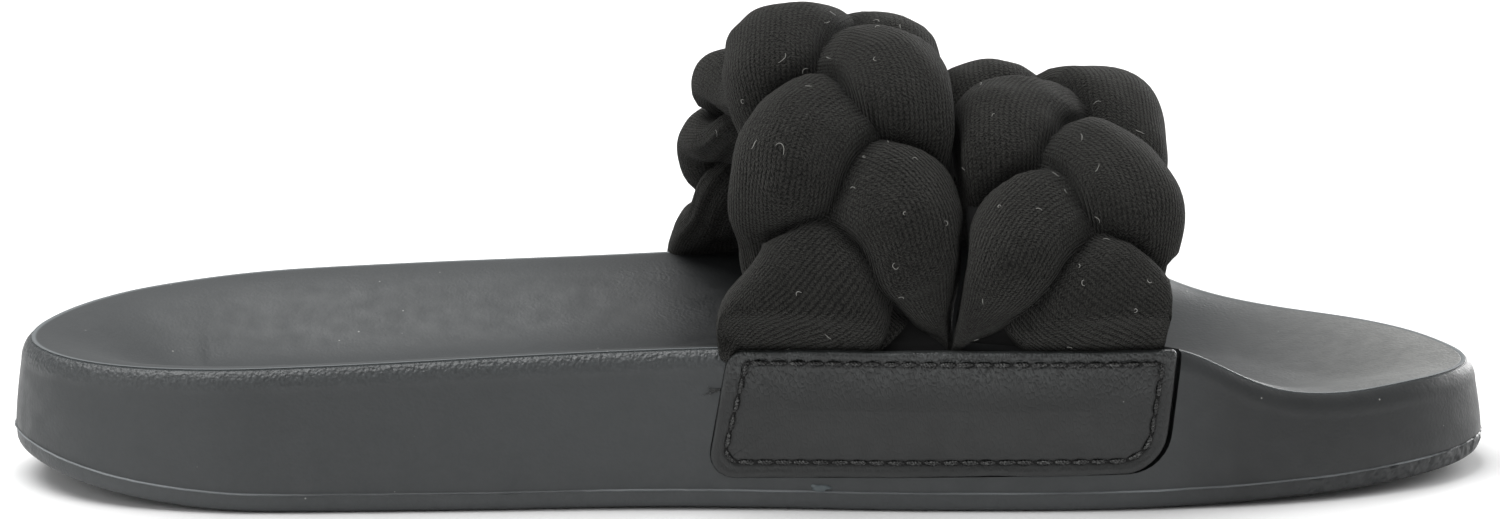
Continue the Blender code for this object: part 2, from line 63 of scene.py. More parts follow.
OUTLINE = (
    (-132.5, 0.0, 0.0),
    (-129.0, 15.9, 10.8),
    (-122.0, 25.1, 20.2),
    (-110.0, 32.3, 27.7),
    (-90.0, 37.1, 32.2),
    (-60.0, 38.3, 34.6),
    (-30.0, 38.9, 37.0),
    (0.0, 41.2, 41.0),
    (30.0, 44.8, 45.0),
    (60.0, 46.5, 46.5),
    (80.0, 45.2, 43.6),
    (100.0, 41.2, 36.4),
    (115.0, 34.8, 25.4),
    (125.0, 27.4, 12.4),
    (130.0, 20.5, 0.6),
    (132.5, 11.5, -11.5),
)

HEIGHTS = (
    (-132.5, 24.9, 25.1, 20.0),
    (-110.0, 25.1, 27.6, 18.4),
    (-80.0, 26.0, 29.6, 18.0),
    (-40.0, 27.7, 30.2, 19.4),
    (0.0, 29.1, 30.3, 20.0),
    (25.0, 29.6, 30.1, 18.6),
    (45.0, 29.7, 29.9, 17.0),
    (62.0, 29.5, 29.1, 15.8),
    (74.0, 28.7, 26.4, 15.2),
    (84.0, 23.6, 22.0, 14.8),
    (94.0, 19.6, 19.7, 14.4),
    (106.0, 18.6, 18.7, 14.2),
    (120.0, 19.2, 18.9, 14.6),
    (132.5, 19.0, 19.2, 15.6),
)

PANEL_CORNERS = (
    (-6.3, 28.7, 3.4),
    (-10.5, 5.9, 4.2),
    (70.2, 6.8, 8.0),
    (73.0, 28.7, 0.8),
)
PANEL_THICKNESS = 1.8
PANEL_PROUD = 0.5
TAIL_THICKNESS = 2.2
RECESS_DEPTH = PANEL_THICKNESS + TAIL_THICKNESS + 3 * GAP - PANEL_PROUD
PANEL_SHIFT = {-1: 0.0, 1: -4.4}

BRAIDS = {
    "braid_rear": {
        "wall": (42.4, 42.6),
        "top": 71.4,
        "fullness": (2.15, 1.6),
        "centre_x": (13.7, 15.4, 15.6, 10.2, 7.9),
        "crossings": (-16.0, 6.0, 22.6, 34.6, 48.0, 60.5, 78.5, 86.0, 94.0, 103.0, 114.0, 126.0),
        "mirror": 1.0,
        "lean": 0.0,
        "press": 1.6,
    },
    "braid_front": {
        "wall": (46.0, 46.2),
        "top": 60.4,
        "fullness": (2.25, 1.65),
        "centre_x": (52.9, 54.6, 54.6, 51.0, 49.4),
        "crossings": (-14.0, 5.0, 18.0, 29.0, 43.0, 59.5, 68.5, 80.5, 92.5, 104.5, 116.5, 128.5),
        "mirror": -1.0,
        "lean": 0.24,
        "press": 0.0,
    },
}
CROSSING_TURN = 155.0
STRAND_SWING = 10.4
STRAND_SQUARE = 1.7
STRAND_LIFT = 4.8
STRAND_LEAD = 14.0
STRAND_HALF_WIDTH = 10.4
STRAND_HALF_THICKNESS = 7.3
STRAND_SWELL = 0.08
STRAND_TAPER = 0.20
INNER_SHARE = 0.62
BASE_SPREAD = 0.12
CORE_HALF_WIDTH = 19.5
CORE_FREE_HALF_WIDTH = 12.0
CORE_HALF_THICKNESS = 3.6
ARCH_INSET = 8.8
ARCH_BASE_Z = 31.0
STRAND_END_Z = 26.5


# ---------------------------------------------------------------- small mathematics
def column(table, index):
    return np.array([row[index] for row in table], float)


def monotone(xs, ys, x):
    xs, ys = np.asarray(xs, float), np.asarray(ys, float)
    h = np.diff(xs)
    slope = np.diff(ys) / h
    m = np.zeros(len(xs))
    for i in range(1, len(xs) - 1):
        if slope[i - 1] * slope[i] > 0:
            w1, w2 = 2 * h[i] + h[i - 1], h[i] + 2 * h[i - 1]
            m[i] = (w1 + w2) / (w1 / slope[i - 1] + w2 / slope[i])
    m[0], m[-1] = slope[0], slope[-1]
    x = np.clip(np.asarray(x, float), xs[0], xs[-1])
    k = np.clip(np.searchsorted(xs, x) - 1, 0, len(xs) - 2)
    t = (x - xs[k]) / h[k]
    return (
        (2 * t**3 - 3 * t**2 + 1) * ys[k]
        + (t**3 - 2 * t**2 + t) * h[k] * m[k]
        + (-2 * t**3 + 3 * t**2) * ys[k + 1]
        + (t**3 - t**2) * h[k] * m[k + 1]
    )


def smoothstep(low, high, x):
    t = np.clip((np.asarray(x, float) - low) / (high - low), 0.0, 1.0)
    return t * t * (3 - 2 * t)


def soft_min(x, limit, r):
    """x, eased so that it never passes limit."""
    return limit - r * np.logaddexp(0.0, (limit - x) / r)


def soft_max(x, limit, r):
    return limit + r * np.logaddexp(0.0, (x - limit) / r)


def ripple(points, scale, seed, octaves=3):
    """Smooth, repeatable unevenness between about -1 and 1 at each point, for waves of about this many millimetres."""
    rng = np.random.RandomState(seed)
    total = np.zeros(len(points))
    gain = 1.0
    for octave in range(octaves):
        for _ in range(5):
            direction = rng.normal(size=3)
            direction /= np.linalg.norm(direction)
            length = scale / 2**octave * rng.uniform(0.75, 1.35)
            total += (
                gain
                * 0.45
                * np.sin(points @ direction * (2 * math.pi / length) + rng.uniform(0, 6.283))
            )
        gain *= 0.5
    return total


def gaussian_loop(values, sigma):
    """Smooths a closed loop of samples with a bell of this many samples."""
    count = len(values)
    reach = int(sigma * 4)
    offsets = np.arange(-reach, reach + 1)
    weights = np.exp(-0.5 * (offsets / sigma) ** 2)
    weights /= weights.sum()
    out = np.zeros_like(values, dtype=float)
    for offset, weight in zip(offsets, weights):
        out += weight * np.roll(values, -offset, axis=0)
    return out


# ---------------------------------------------------------------- the sole's shape
def half_width(x, side):
    turn = np.arcsin(np.clip(np.asarray(x, float) / HALF_LENGTH, -1, 1))
    turns = np.arcsin(column(OUTLINE, 0) / HALF_LENGTH)
    values = column(OUTLINE, 1 if side < 0 else 2).copy()
    values[0] = -HEEL_TIP_Y if side < 0 else HEEL_TIP_Y
    return monotone(turns, values, turn)


def ground_rise(x):
    x = np.asarray(x, float)
    heel = np.clip((HEEL_RISE_START - x) / (HEEL_RISE_START + HALF_LENGTH), 0, 1)
    toe = np.clip((x - TOE_SPRING_START) / (HALF_LENGTH - TOE_SPRING_START), 0, 1)
    arch = np.clip(1 - ((x - ARCH_CENTRE) / ARCH_REACH) ** 2, 0, 1) ** 2
    return HEEL_RISE * heel**2.2 + TOE_SPRING * toe**2.2 + ARCH_LIFT * arch


def rim_height(x, share_outer):
    inner = monotone(column(HEIGHTS, 0), column(HEIGHTS, 1), x)
    outer = monotone(column(HEIGHTS, 0), column(HEIGHTS, 2), x)
    return inner * (1 - share_outer) + outer * share_outer


def parting(x):
    return ground_rise(x) + OUTSOLE_THICKNESS


def wall_inset(x, z, side):
    low = parting(x)
    high = rim_height(x, 0.0 if side < 0 else 1.0) - RIM_RADIUS
    return WALL_DRAFT * np.clip((z - low) / (high - low), 0, 1) ** 1.5


def wall_y(x, z, side):
    return side * (half_width(x, side) - wall_inset(x, z, side))


# ---------------------------------------------------------------- mesh helpers
def new_piece(name, vertices, faces, stands_for=(), smooth=True):
    mesh = bpy.data.meshes.new(name)
    mesh.from_pydata([tuple(v) for v in np.asarray(vertices) * MM], [], faces)
    mesh.validate()
    mesh.update()
    obj = bpy.data.objects.new(name, mesh)
    bpy.context.scene.collection.objects.link(obj)
    if smooth:
        mesh.shade_smooth()
    declare(obj, stands_for)
    return obj


def declare(obj, stands_for=()):
    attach(obj, "root")
    if stands_for:
        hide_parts(*stands_for)


def grid_faces(rows, count, closed=True):
    """Quads between successive rings of count points each."""
    faces = []
    last = count if closed else count - 1
    for r in range(rows - 1):
        a, b = r * count, (r + 1) * count
        for i in range(last):
            j = (i + 1) % count
            faces.append((a + i, a + j, b + j, b + i))
    return faces


def outward(obj):
    bm = bmesh.new()
    bm.from_mesh(obj.data)
    bmesh.ops.recalc_face_normals(bm, faces=bm.faces)
    bm.to_mesh(obj.data)
    bm.free()


def set_material(obj, material):
    obj.data.materials.clear()
    obj.data.materials.append(material)


# ---------------------------------------------------------------- materials
def new_material(name):
    material = bpy.data.materials.new(name)
    material.use_nodes = True
    tree = material.node_tree
    shader = tree.nodes["Principled BSDF"]
    return material, tree, shader


def add(tree, kind, **settings):
    node = tree.nodes.new(kind)
    for key, value in settings.items():
        if key.startswith("in_"):
            node.inputs[key[3:].replace("_", " ")].default_value = value
        else:
            setattr(node, key, value)
    return node


def link(tree, a, b):
    tree.links.new(a, b)


def maths(tree, operation, a, b=None, c=None, clamp=False):
    node = tree.nodes.new("ShaderNodeMath")
    node.operation = operation
    node.use_clamp = clamp
    for index, value in enumerate((a, b, c)):
        if value is None:
            continue
        if isinstance(value, (int, float)):
            node.inputs[index].default_value = value
        else:
            tree.links.new(value, node.inputs[index])
    return node.outputs[0]


def ramp(tree, value, stops, interpolation="LINEAR"):
    node = tree.nodes.new("ShaderNodeValToRGB")
    node.color_ramp.interpolation = interpolation
    elements = node.color_ramp.elements
    while len(elements) < len(stops):
        elements.new(0.5)
    for element, (position, colour) in zip(elements, stops):
        element.position = position
        if isinstance(colour, (int, float)):
            colour = (colour, colour, colour)
        element.color = (*colour, 1.0)
    tree.links.new(value, node.inputs[0])
    return node.outputs[0]


def map_range(tree, value, a, b, c, d):
    node = tree.nodes.new("ShaderNodeMapRange")
    for index, number in enumerate((a, b, c, d)):
        node.inputs[index + 1].default_value = number
    tree.links.new(value, node.inputs[0])
    return node.outputs[0]


def noise(tree, vector, scale, detail=2.0, roughness=0.5, distortion=0.0):
    node = add(tree, "ShaderNodeTexNoise")
    node.inputs["Scale"].default_value = scale
    node.inputs["Detail"].default_value = detail
    node.inputs["Roughness"].default_value = roughness
    node.inputs["Distortion"].default_value = distortion
    link(tree, vector, node.inputs["Vector"])
    return node.outputs["Fac"]


def voronoi(tree, vector, scale, feature="F1", output="Distance", randomness=1.0):
    node = add(tree, "ShaderNodeTexVoronoi", feature=feature)
    node.inputs["Scale"].default_value = scale
    node.inputs["Randomness"].default_value = randomness
    link(tree, vector, node.inputs["Vector"])
    return node.outputs[output]


def mix_colour(tree, factor, a, b, mode="MIX"):
    node = add(tree, "ShaderNodeMix", data_type="RGBA", blend_type=mode)
    sockets = [s for s in node.inputs if s.type == "RGBA"]
    if isinstance(factor, (int, float)):
        node.inputs[0].default_value = factor
    else:
        link(tree, factor, node.inputs[0])
    for socket, value in zip(sockets, (a, b)):
        if isinstance(value, tuple):
            socket.default_value = (*value[:3], 1.0)
        else:
            link(tree, value, socket)
    return [s for s in node.outputs if s.type == "RGBA"][0]


def bump(tree, height, distance, strength=1.0, below=None):
    node = add(tree, "ShaderNodeBump")
    node.inputs["Strength"].default_value = strength
    node.inputs["Distance"].default_value = distance
    link(tree, height, node.inputs["Height"])
    if below is not None:
        link(tree, below, node.inputs["Normal"])
    return node.outputs["Normal"]


def dust(tree, vector, density_scale, size, threshold):
    """A mask of tiny pale specks: 1 on a speck, 0 elsewhere."""
    spots = voronoi(tree, vector, density_scale)
    near = map_range(tree, spots, 0.0, size, 1.0, 0.0)
    chance = voronoi(tree, vector, density_scale, output="Color")
    separate = add(tree, "ShaderNodeSeparateColor")
    link(tree, chance, separate.inputs[0])
    chosen = maths(tree, "GREATER_THAN", separate.outputs[0], threshold)
    return maths(tree, "MULTIPLY", near, chosen, clamp=True)


def mark(tree, name):
    return add(tree, "ShaderNodeAttribute", attribute_type="GEOMETRY", attribute_name=name).outputs["Fac"]


def foam_material(name, colour, rough_edge=False):
    """Moulded foam: a fine skin, soft pebble strongest on the shoulder, faint blotches and dust."""
    material, tree, shader = new_material(name)
    place = add(tree, "ShaderNodeTexCoord").outputs["Object"]
    shoulder, ridge, bed = mark(tree, "shoulder"), mark(tree, "ridge"), mark(tree, "bed")
    split = add(tree, "ShaderNodeSeparateXYZ")
    link(tree, place, split.inputs[0])
    toe = map_range(tree, split.outputs[0], 0.086, 0.122, 0.0, 1.0)
    blotch = noise(tree, place, 38.0, 3.0, 0.55)
    fine = noise(tree, place, 900.0, 2.0, 0.6)
    base = mix_colour(
        tree,
        map_range(tree, blotch, 0.3, 0.7, 0.0, 1.0),
        tuple(c * 0.92 for c in colour),
        tuple(c * 1.08 for c in colour),
    )
    base = mix_colour(
        tree,
        map_range(tree, fine, 0.35, 0.65, 0.0, 0.35),
        base,
        tuple(c * 1.22 for c in colour),
    )
    # the footbed's skin is a little paler and mottled
    mottle = noise(tree, place, 420.0, 3.0, 0.6)
    pale = map_range(tree, mottle, 0.35, 0.65, 0.75, 1.0)
    base = mix_colour(tree, maths(tree, "MULTIPLY", bed, pale), base, tuple(c * 1.17 for c in colour))
    # painted shade: the wall round the toe is painted much darker, for the light it turns away from
    front = map_range(tree, split.outputs[0], 0.066, 0.084, 0.0, 1.0)
    toe_wall_painted_shade = maths(tree, "MULTIPLY", maths(tree, "SUBTRACT", 1.0, bed), front, clamp=True)
    base = mix_colour(tree, maths(tree, "MULTIPLY", toe_wall_painted_shade, 0.9), base, tuple(c * 0.42 for c in colour))
    # painted light: the footbed's bowl is painted much paler towards the toe's tip, for the light it catches there
    bowl = maths(tree, "MULTIPLY", bed, toe)
    base = mix_colour(tree, maths(tree, "MULTIPLY", bowl, pale), base, (0.186, 0.188, 0.182))
    # painted shade: the footbed is painted darker where it goes under the straps, for the shadow the braids cast there
    strap_painted_shade = maths(tree, "MULTIPLY", map_range(tree, split.outputs[0], -0.040, -0.008, 0.0, 1.0), map_range(tree, split.outputs[0], 0.066, 0.078, 1.0, 0.0))
    base = mix_colour(tree, maths(tree, "MULTIPLY", maths(tree, "MULTIPLY", bed, strap_painted_shade), 0.9), base, tuple(c * 0.34 for c in colour))
    # painted highlights: specks on the shoulder's pebble are painted paler, fading out towards the toes
    shoulder_painted_glints = noise(tree, place, 1650.0, 3.0, 0.65)
    shoulder_painted_glints = maths(tree, "MULTIPLY", shoulder, map_range(tree, shoulder_painted_glints, 0.46, 0.62, 0.0, 1.0))
    shoulder_painted_glints = maths(tree, "MULTIPLY", shoulder_painted_glints, map_range(tree, split.outputs[0], -0.020, 0.030, 1.0, 0.0))
    base = mix_colour(tree, maths(tree, "MULTIPLY", shoulder_painted_glints, 0.55), base, tuple(c * 2.1 for c in colour))
    # painted highlight: a pale line along the rim's ridge; on the outsole the same mark lightens its flash line
    base = mix_colour(tree, maths(tree, "MULTIPLY", ridge, 0.9), base, tuple(c * 4.2 for c in colour))
    specks = dust(tree, place, 260.0, 0.06, 0.72)
    base = mix_colour(tree, maths(tree, "MULTIPLY", specks, 0.85), base, (0.50, 0.50, 0.48))
    link(tree, base, shader.inputs["Base Color"])
    rough = map_range(tree, noise(tree, place, 260.0, 3.0), 0.3, 0.7, 0.44, 0.58)
    rough = maths(tree, "SUBTRACT", rough, maths(tree, "MULTIPLY", shoulder, 0.10))
    link(tree, rough, shader.inputs["Roughness"])
    shader.inputs["Specular IOR Level"].default_value = 0.5
    pebble = voronoi(tree, place, 1750.0, "SMOOTH_F1")
    pebble2 = noise(tree, place, 1500.0, 2.0, 0.6)
    uneven = noise(tree, place, 75.0, 3.0, 0.5)
    strength = map_range(tree, uneven, 0.35, 0.7, 0.30, 0.8)
    height = maths(tree, "ADD", maths(tree, "MULTIPLY", pebble, 0.7), maths(tree, "MULTIPLY", pebble2, 0.6))
    height = maths(tree, "MULTIPLY", height, strength)
    normal = bump(tree, noise(tree, place, 130.0, 2.0), 0.00025, 0.35)
    normal = bump(tree, height, 0.00012 if not rough_edge else 0.0002, 0.8, normal)
    # coarse crinkled pebble on the shoulder and in the toe's bowl
    coarse = voronoi(tree, place, 1650.0, "SMOOTH_F1")
    coarse = maths(tree, "ADD", coarse, maths(tree, "MULTIPLY", noise(tree, place, 1250.0, 3.0, 0.65), 0.8))
    where = maths(tree, "ADD", shoulder, maths(tree, "MULTIPLY", maths(tree, "MULTIPLY", bed, toe), 0.35), clamp=True)
    coarse = maths(tree, "MULTIPLY", coarse, maths(tree, "SUBTRACT", where, ridge, clamp=True))
    normal = bump(tree, coarse, 0.00030, 0.9, normal)
    if rough_edge:
        # the outsole's edge is dimpled round the toe
        pits = voronoi(tree, place, 700.0, "SMOOTH_F1")
        pits = maths(tree, "MULTIPLY", pits, map_range(tree, split.outputs[0], 0.078, 0.112, 0.0, 1.0))
        normal = bump(tree, pits, 0.0009, 1.0, normal)
    link(tree, normal, shader.inputs["Normal"])
    return material


def jersey_material(name):
    """Ribbed jersey over soft filling. The mesh's map runs u in ribs round a strand and v in millimetres along it."""
    material, tree, shader = new_material(name)
    place = add(tree, "ShaderNodeTexCoord").outputs["Object"]
    uv = add(tree, "ShaderNodeUVMap", uv_map="knit").outputs[0]
    tuck = mark(tree, "tuck")
    split = add(tree, "ShaderNodeSeparateXYZ")
    link(tree, uv, split.inputs[0])
    u, v = split.outputs[0], split.outputs[1]
    wander = noise(tree, place, 110.0, 2.0)
    u = maths(tree, "ADD", u, maths(tree, "MULTIPLY", maths(tree, "SUBTRACT", wander, 0.5), 1.4))
    # ribs: a rounded ridge with a narrow gap, painted dark as shade
    rib_phase = maths(tree, "PINGPONG", u, 0.5)
    rib = maths(tree, "SINE", maths(tree, "MULTIPLY", rib_phase, math.pi))
    # loops: slanted stitches leaning left and right on either side of each rib
    jitter = noise(tree, place, 1700.0, 2.0, 0.6)
    slant = maths(tree, "MULTIPLY", rib_phase, 0.75)
    slant = maths(tree, "ADD", slant, maths(tree, "MULTIPLY", jitter, 0.9))
    loop_phase = maths(tree, "DIVIDE", maths(tree, "ADD", v, slant), 0.47)
    loop = maths(
        tree,
        "ADD",
        maths(tree, "MULTIPLY", maths(tree, "SINE", maths(tree, "MULTIPLY", loop_phase, 2 * math.pi)), 0.5),
        0.5,
    )
    fuzz = noise(tree, place, 2300.0, 2.0, 0.75)
    patch = noise(tree, place, 75.0, 2.0)
    rib_share = map_range(tree, patch, 0.35, 0.65, 0.45, 0.85)
    rib_share = maths(tree, "MAXIMUM", rib_share, maths(tree, "MULTIPLY", tuck, 1.0))
    weave = maths(tree, "MULTIPLY", maths(tree, "SUBTRACT", rib, 0.64), rib_share)
    weave = maths(tree, "ADD", weave, maths(tree, "MULTIPLY", maths(tree, "SUBTRACT", loop, 0.5), 0.5))
    weave = maths(tree, "ADD", weave, maths(tree, "MULTIPLY", maths(tree, "SUBTRACT", fuzz, 0.5), 2.6))
    # painted shade: the gaps between ribs go near black; the loops and fuzz are the cloth's own pattern
    tone = map_range(tree, weave, -0.40, 0.60, 0.0, 1.0)
    base = mix_colour(tree, tone, (0.0004, 0.0004, 0.0003), (0.0395, 0.0387, 0.0354))
    large = noise(tree, place, 30.0, 2.0)
    base = mix_colour(tree, map_range(tree, large, 0.3, 0.7, 0.0, 0.22), base, (0.016, 0.0163, 0.0155))
    # painted shade: the cloth is painted near black where it is pressed into a crease
    crease = mark(tree, "crease")
    base = mix_colour(tree, maths(tree, "MULTIPLY", crease, 0.96), base, (0.0010, 0.0010, 0.0009))
    lint = dust(tree, place, 240.0, 0.05, 0.90)
    base = mix_colour(tree, maths(tree, "MULTIPLY", lint, 0.45), base, (0.30, 0.30, 0.29))
    link(tree, base, shader.inputs["Base Color"])
    shader.inputs["Roughness"].default_value = 0.92
    shader.inputs["Specular IOR Level"].default_value = 0.16
    shader.inputs["Sheen Weight"].default_value = 0.10
    shader.inputs["Sheen Roughness"].default_value = 0.45
    shader.inputs["Sheen Tint"].default_value = (0.9, 0.9, 0.85, 1.0)
    normal = bump(tree, noise(tree, place, 150.0, 2.0), 0.0006, 0.25)
    normal = bump(tree, weave, 0.00042, 1.0, normal)
    link(tree, normal, shader.inputs["Normal"])
    return material


def leather_material(name, colour=(0.0145, 0.0157, 0.0157)):
    """Leather-look sheet: fine irregular grain, a faint pull of creases under the top edge, semi-matt."""
    material, tree, shader = new_material(name)
    place = add(tree, "ShaderNodeTexCoord").outputs["Object"]
    blotch = noise(tree, place, 60.0, 3.0)
    base = mix_colour(
        tree,
        map_range(tree, blotch, 0.3, 0.7, 0.0, 1.0),
        tuple(c * 0.9 for c in colour),
        tuple(c * 1.12 for c in colour),
    )
    specks = dust(tree, place, 300.0, 0.05, 0.92)
    base = mix_colour(tree, maths(tree, "MULTIPLY", specks, 0.6), base, (0.4, 0.4, 0.38))
    split = add(tree, "ShaderNodeSeparateXYZ")
    link(tree, place, split.inputs[0])
    under_seam = map_range(tree, split.outputs[2], 0.0200, 0.0258, 0.0, 1.0)
    patchy = map_range(tree, noise(tree, place, 90.0, 2.0), 0.35, 0.6, 0.35, 1.0)
    pulled = maths(tree, "MULTIPLY", under_seam, patchy)
    # painted highlight: stretched over the seam the skin is painted lighter in patches, for the light it catches
    seam_band_painted_highlight = noise(tree, place, 1500.0, 2.0, 0.6)
    seam_band_painted_highlight = maths(tree, "MULTIPLY", pulled, map_range(tree, seam_band_painted_highlight, 0.40, 0.62, 0.0, 1.0))
    base = mix_colour(tree, maths(tree, "MULTIPLY", seam_band_painted_highlight, 0.9), base, tuple(c * 3.4 for c in colour))
    # the cut edge is painted paler, partly its own colour and partly a painted highlight that is strongest along the
    # top
    rim = mark(tree, "rim")
    rim = maths(tree, "MULTIPLY", rim, map_range(tree, noise(tree, place, 260.0, 3.0), 0.36, 0.60, 0.25, 1.0))
    base = mix_colour(tree, maths(tree, "MULTIPLY", rim, 0.9), base, tuple(c * 4.2 for c in colour))
    # painted shade: the stitch line's groove is painted dark
    base = mix_colour(tree, maths(tree, "MULTIPLY", mark(tree, "seam"), 0.95), base, tuple(c * 0.06 for c in colour))
    link(tree, base, shader.inputs["Base Color"])
    rough = map_range(tree, noise(tree, place, 300.0, 2.0), 0.3, 0.7, 0.38, 0.50)
    rough = maths(tree, "SUBTRACT", rough, maths(tree, "MULTIPLY", pulled, 0.10))
    link(tree, rough, shader.inputs["Roughness"])
    shader.inputs["Specular IOR Level"].default_value = 0.5
    stretch = add(tree, "ShaderNodeMapping")
    stretch.inputs["Scale"].default_value = (1.0, 1.0, 0.55)
    link(tree, place, stretch.inputs["Vector"])
    cells = voronoi(tree, stretch.outputs[0], 1450.0, "DISTANCE_TO_EDGE")
    grain = map_range(tree, cells, 0.0, 0.22, 0.0, 1.0)
    fine = noise(tree, place, 2400.0, 2.0, 0.6)
    height = maths(tree, "ADD", grain, maths(tree, "MULTIPLY", fine, 0.4))
    height = maths(tree, "MULTIPLY", height, maths(tree, "ADD", 0.55, maths(tree, "MULTIPLY", pulled, 1.9)))
    normal = bump(tree, noise(tree, place, 210.0, 2.0), 0.0002, 0.4)
    normal = bump(tree, height, 0.00007, 0.8, normal)
    link(tree, normal, shader.inputs["Normal"])
    return material


def plain_detail_material(name, colour, roughness, scale=3000.0, depth=0.00004, spread=0.25):
    material, tree, shader = new_material(name)
    place = add(tree, "ShaderNodeTexCoord").outputs["Object"]
    fine = noise(tree, place, scale, 2.0, 0.6)
    base = mix_colour(
        tree,
        fine,
        tuple(c * (1 - spread) for c in colour),
        tuple(c * (1 + spread) for c in colour),
    )
    link(tree, base, shader.inputs["Base Color"])
    shader.inputs["Roughness"].default_value = roughness
    link(tree, bump(tree, fine, depth, 0.8), shader.inputs["Normal"])
    return material


# ---------------------------------------------------------------- sole pieces
SOLE_STEPS = 300


def smooth_outline():
    """The sole's outline as a fine closed loop, its inward normals, and how far round each point is."""
    turn = np.linspace(-math.pi / 2, math.pi / 2, SOLE_STEPS + 1)
    x = HALF_LENGTH * np.sin(turn)
    inner = np.stack([x, -half_width(x, -1)], 1)
    outer = np.stack([x, half_width(x, 1)], 1)
    loop = np.concatenate([inner, outer[-2:0:-1]])
    share = np.zeros(len(loop))
    share[SOLE_STEPS + 1 :] = 1.0
    share[0] = share[SOLE_STEPS] = 0.5
    # even spacing, then a light smoothing
    closed = np.concatenate([loop, loop[:1]])
    run = np.concatenate([[0.0], np.cumsum(np.linalg.norm(np.diff(closed, axis=0), axis=1))])
    count = 2 * SOLE_STEPS
    even = np.linspace(0, run[-1], count, endpoint=False)
    loop = np.stack([np.interp(even, run, closed[:, k]) for k in range(2)], 1)
    share = np.interp(even, run, np.concatenate([share, share[:1]]))
    loop = gaussian_loop(loop, 3.0)
    share = gaussian_loop(share, 4.0)
    scale = HALF_LENGTH / np.abs(loop[:, 0]).max()
    loop[:, 0] *= scale
    tangent = np.roll(loop, -1, 0) - np.roll(loop, 1, 0)
    tangent /= np.linalg.norm(tangent, axis=1)[:, None]
    inward = np.stack([-tangent[:, 1], tangent[:, 0]], 1)
    return loop, inward, share


def inset_loop(loop, inward, inset):
    return loop + inward * inset


def footbed_height(x, rim, inset):
    middle = monotone(column(HEIGHTS, 0), column(HEIGHTS, 3), x)
    t = np.clip((inset - CREST_INSET) / DISH_REACH, 0, 1)
    fall = t * t * (3 - 2 * t) * 0.75 + 0.25 * t
    return rim - (rim - middle) * fall


def make_midsole():
    loop, inward, share = smooth_outline()
    count = len(loop)
    x = loop[:, 0]
    rim = gaussian_loop(rim_height(x, share), 4.0)
    low = parting(x) + 0.05
    shoulder = rim - RIM_RADIUS
    rings = []
    for t in np.linspace(0, 1, 16):
        inset = WALL_DRAFT * t**1.5 + 0.45 * (1 - smoothstep(0.0, 0.06, t)) * 0.0
        rings.append((inset_loop(loop, inward, inset), low + (shoulder - low) * t))
    for angle in np.linspace(0, 74, 15)[1:]:
        turn = math.radians(angle)
        inset = WALL_DRAFT + (SHOULDER_INSET - WALL_DRAFT) * (1 - math.cos(turn))
        rings.append((inset_loop(loop, inward, inset), shoulder + SHOULDER_RISE * math.sin(turn)))
    # a fine ridge, where the footbed's insert meets the moulded shoulder
    for inset, drop in ((2.95, 0.03), (3.15, 0.0), (3.32, 0.0), (3.5, 0.02), (3.66, 0.05), (3.9, 0.09), (4.2, 0.12)):
        rings.append((inset_loop(loop, inward, inset), rim - drop))
    crease_rings = len(rings)
    crest = inset_loop(loop, inward, CREST_INSET)
    sx = np.clip(x, -98.0, 92.0)
    centre = (half_width(sx, 1) - half_width(sx, -1)) / 2
    spine = np.stack([sx, centre], 1)
    reach = np.linalg.norm(spine - crest, axis=1)
    for fraction in np.linspace(0, 1, 34)[1:] ** 1.25:
        place = crest + (spine - crest) * fraction
        inset = CREST_INSET + reach * fraction
        z = footbed_height(place[:, 0], rim - 0.15, inset)
        rings.append((place, z))
    stack = np.array([np.column_stack([p, z]) for p, z in rings])
    for _ in range(2):
        stack[crease_rings + 1 : -1, :, 2] = (
            stack[crease_rings:-2, :, 2] + 2 * stack[crease_rings + 1 : -1, :, 2] + stack[crease_rings + 2 :, :, 2]
        ) / 4
    vertices = stack.reshape(-1, 3)
    faces = grid_faces(len(stack), count)
    # flat underside, closed across from side to side
    half = count // 2
    faces += underside_faces(stack[0], 0)
    obj = new_piece("midsole_skin", vertices, faces, ["midsole"])
    bm = bmesh.new()
    bm.from_mesh(obj.data)
    bmesh.ops.remove_doubles(bm, verts=bm.verts, dist=1e-6)
    bmesh.ops.dissolve_degenerate(bm, dist=1e-7, edges=bm.edges)
    bmesh.ops.recalc_face_normals(bm, faces=bm.faces)
    bm.to_mesh(obj.data)
    bm.free()
    obj.data.shade_smooth()
    return obj


def mark_sole(obj):
    """Stores where the shoulder, the rim's ridge and the footbed are, for the material."""
    loop, _, share = smooth_outline()
    mesh = obj.data
    co = np.zeros(len(mesh.vertices) * 3, np.float32)
    mesh.vertices.foreach_get("co", co)
    co = co.reshape(-1, 3).astype(float) / MM
    inset = np.zeros(len(co))
    near_share = np.zeros(len(co))
    for start in range(0, len(co), 4000):
        chunk = co[start : start + 4000, :2]
        gaps = ((chunk[:, None, :] - loop[None, :, :]) ** 2).sum(2)
        nearest = gaps.argmin(1)
        inset[start : start + 4000] = np.sqrt(gaps[np.arange(len(chunk)), nearest])
        near_share[start : start + 4000] = share[nearest]
    below = rim_height(co[:, 0], near_share) - co[:, 2]
    shoulder = smoothstep(0.55, 2.1, inset) * (1 - smoothstep(2.95, 3.1, inset)) * (1 - smoothstep(3.0, 4.5, below))
    shoulder *= 1 - 0.9 * smoothstep(-10.0, 45.0, co[:, 0])
    # ridge: the rim's crest, where the foam's material paints a highlight line
    ridge = np.exp(-(((inset - 3.35) / 0.42) ** 4))
    bed = smoothstep(3.5, 3.9, inset)
    for name, values in (("shoulder", shoulder), ("ridge", ridge), ("bed", bed)):
        layer = mesh.attributes.new(name, "FLOAT", "POINT")
        layer.data.foreach_set("value", values.astype(np.float32))


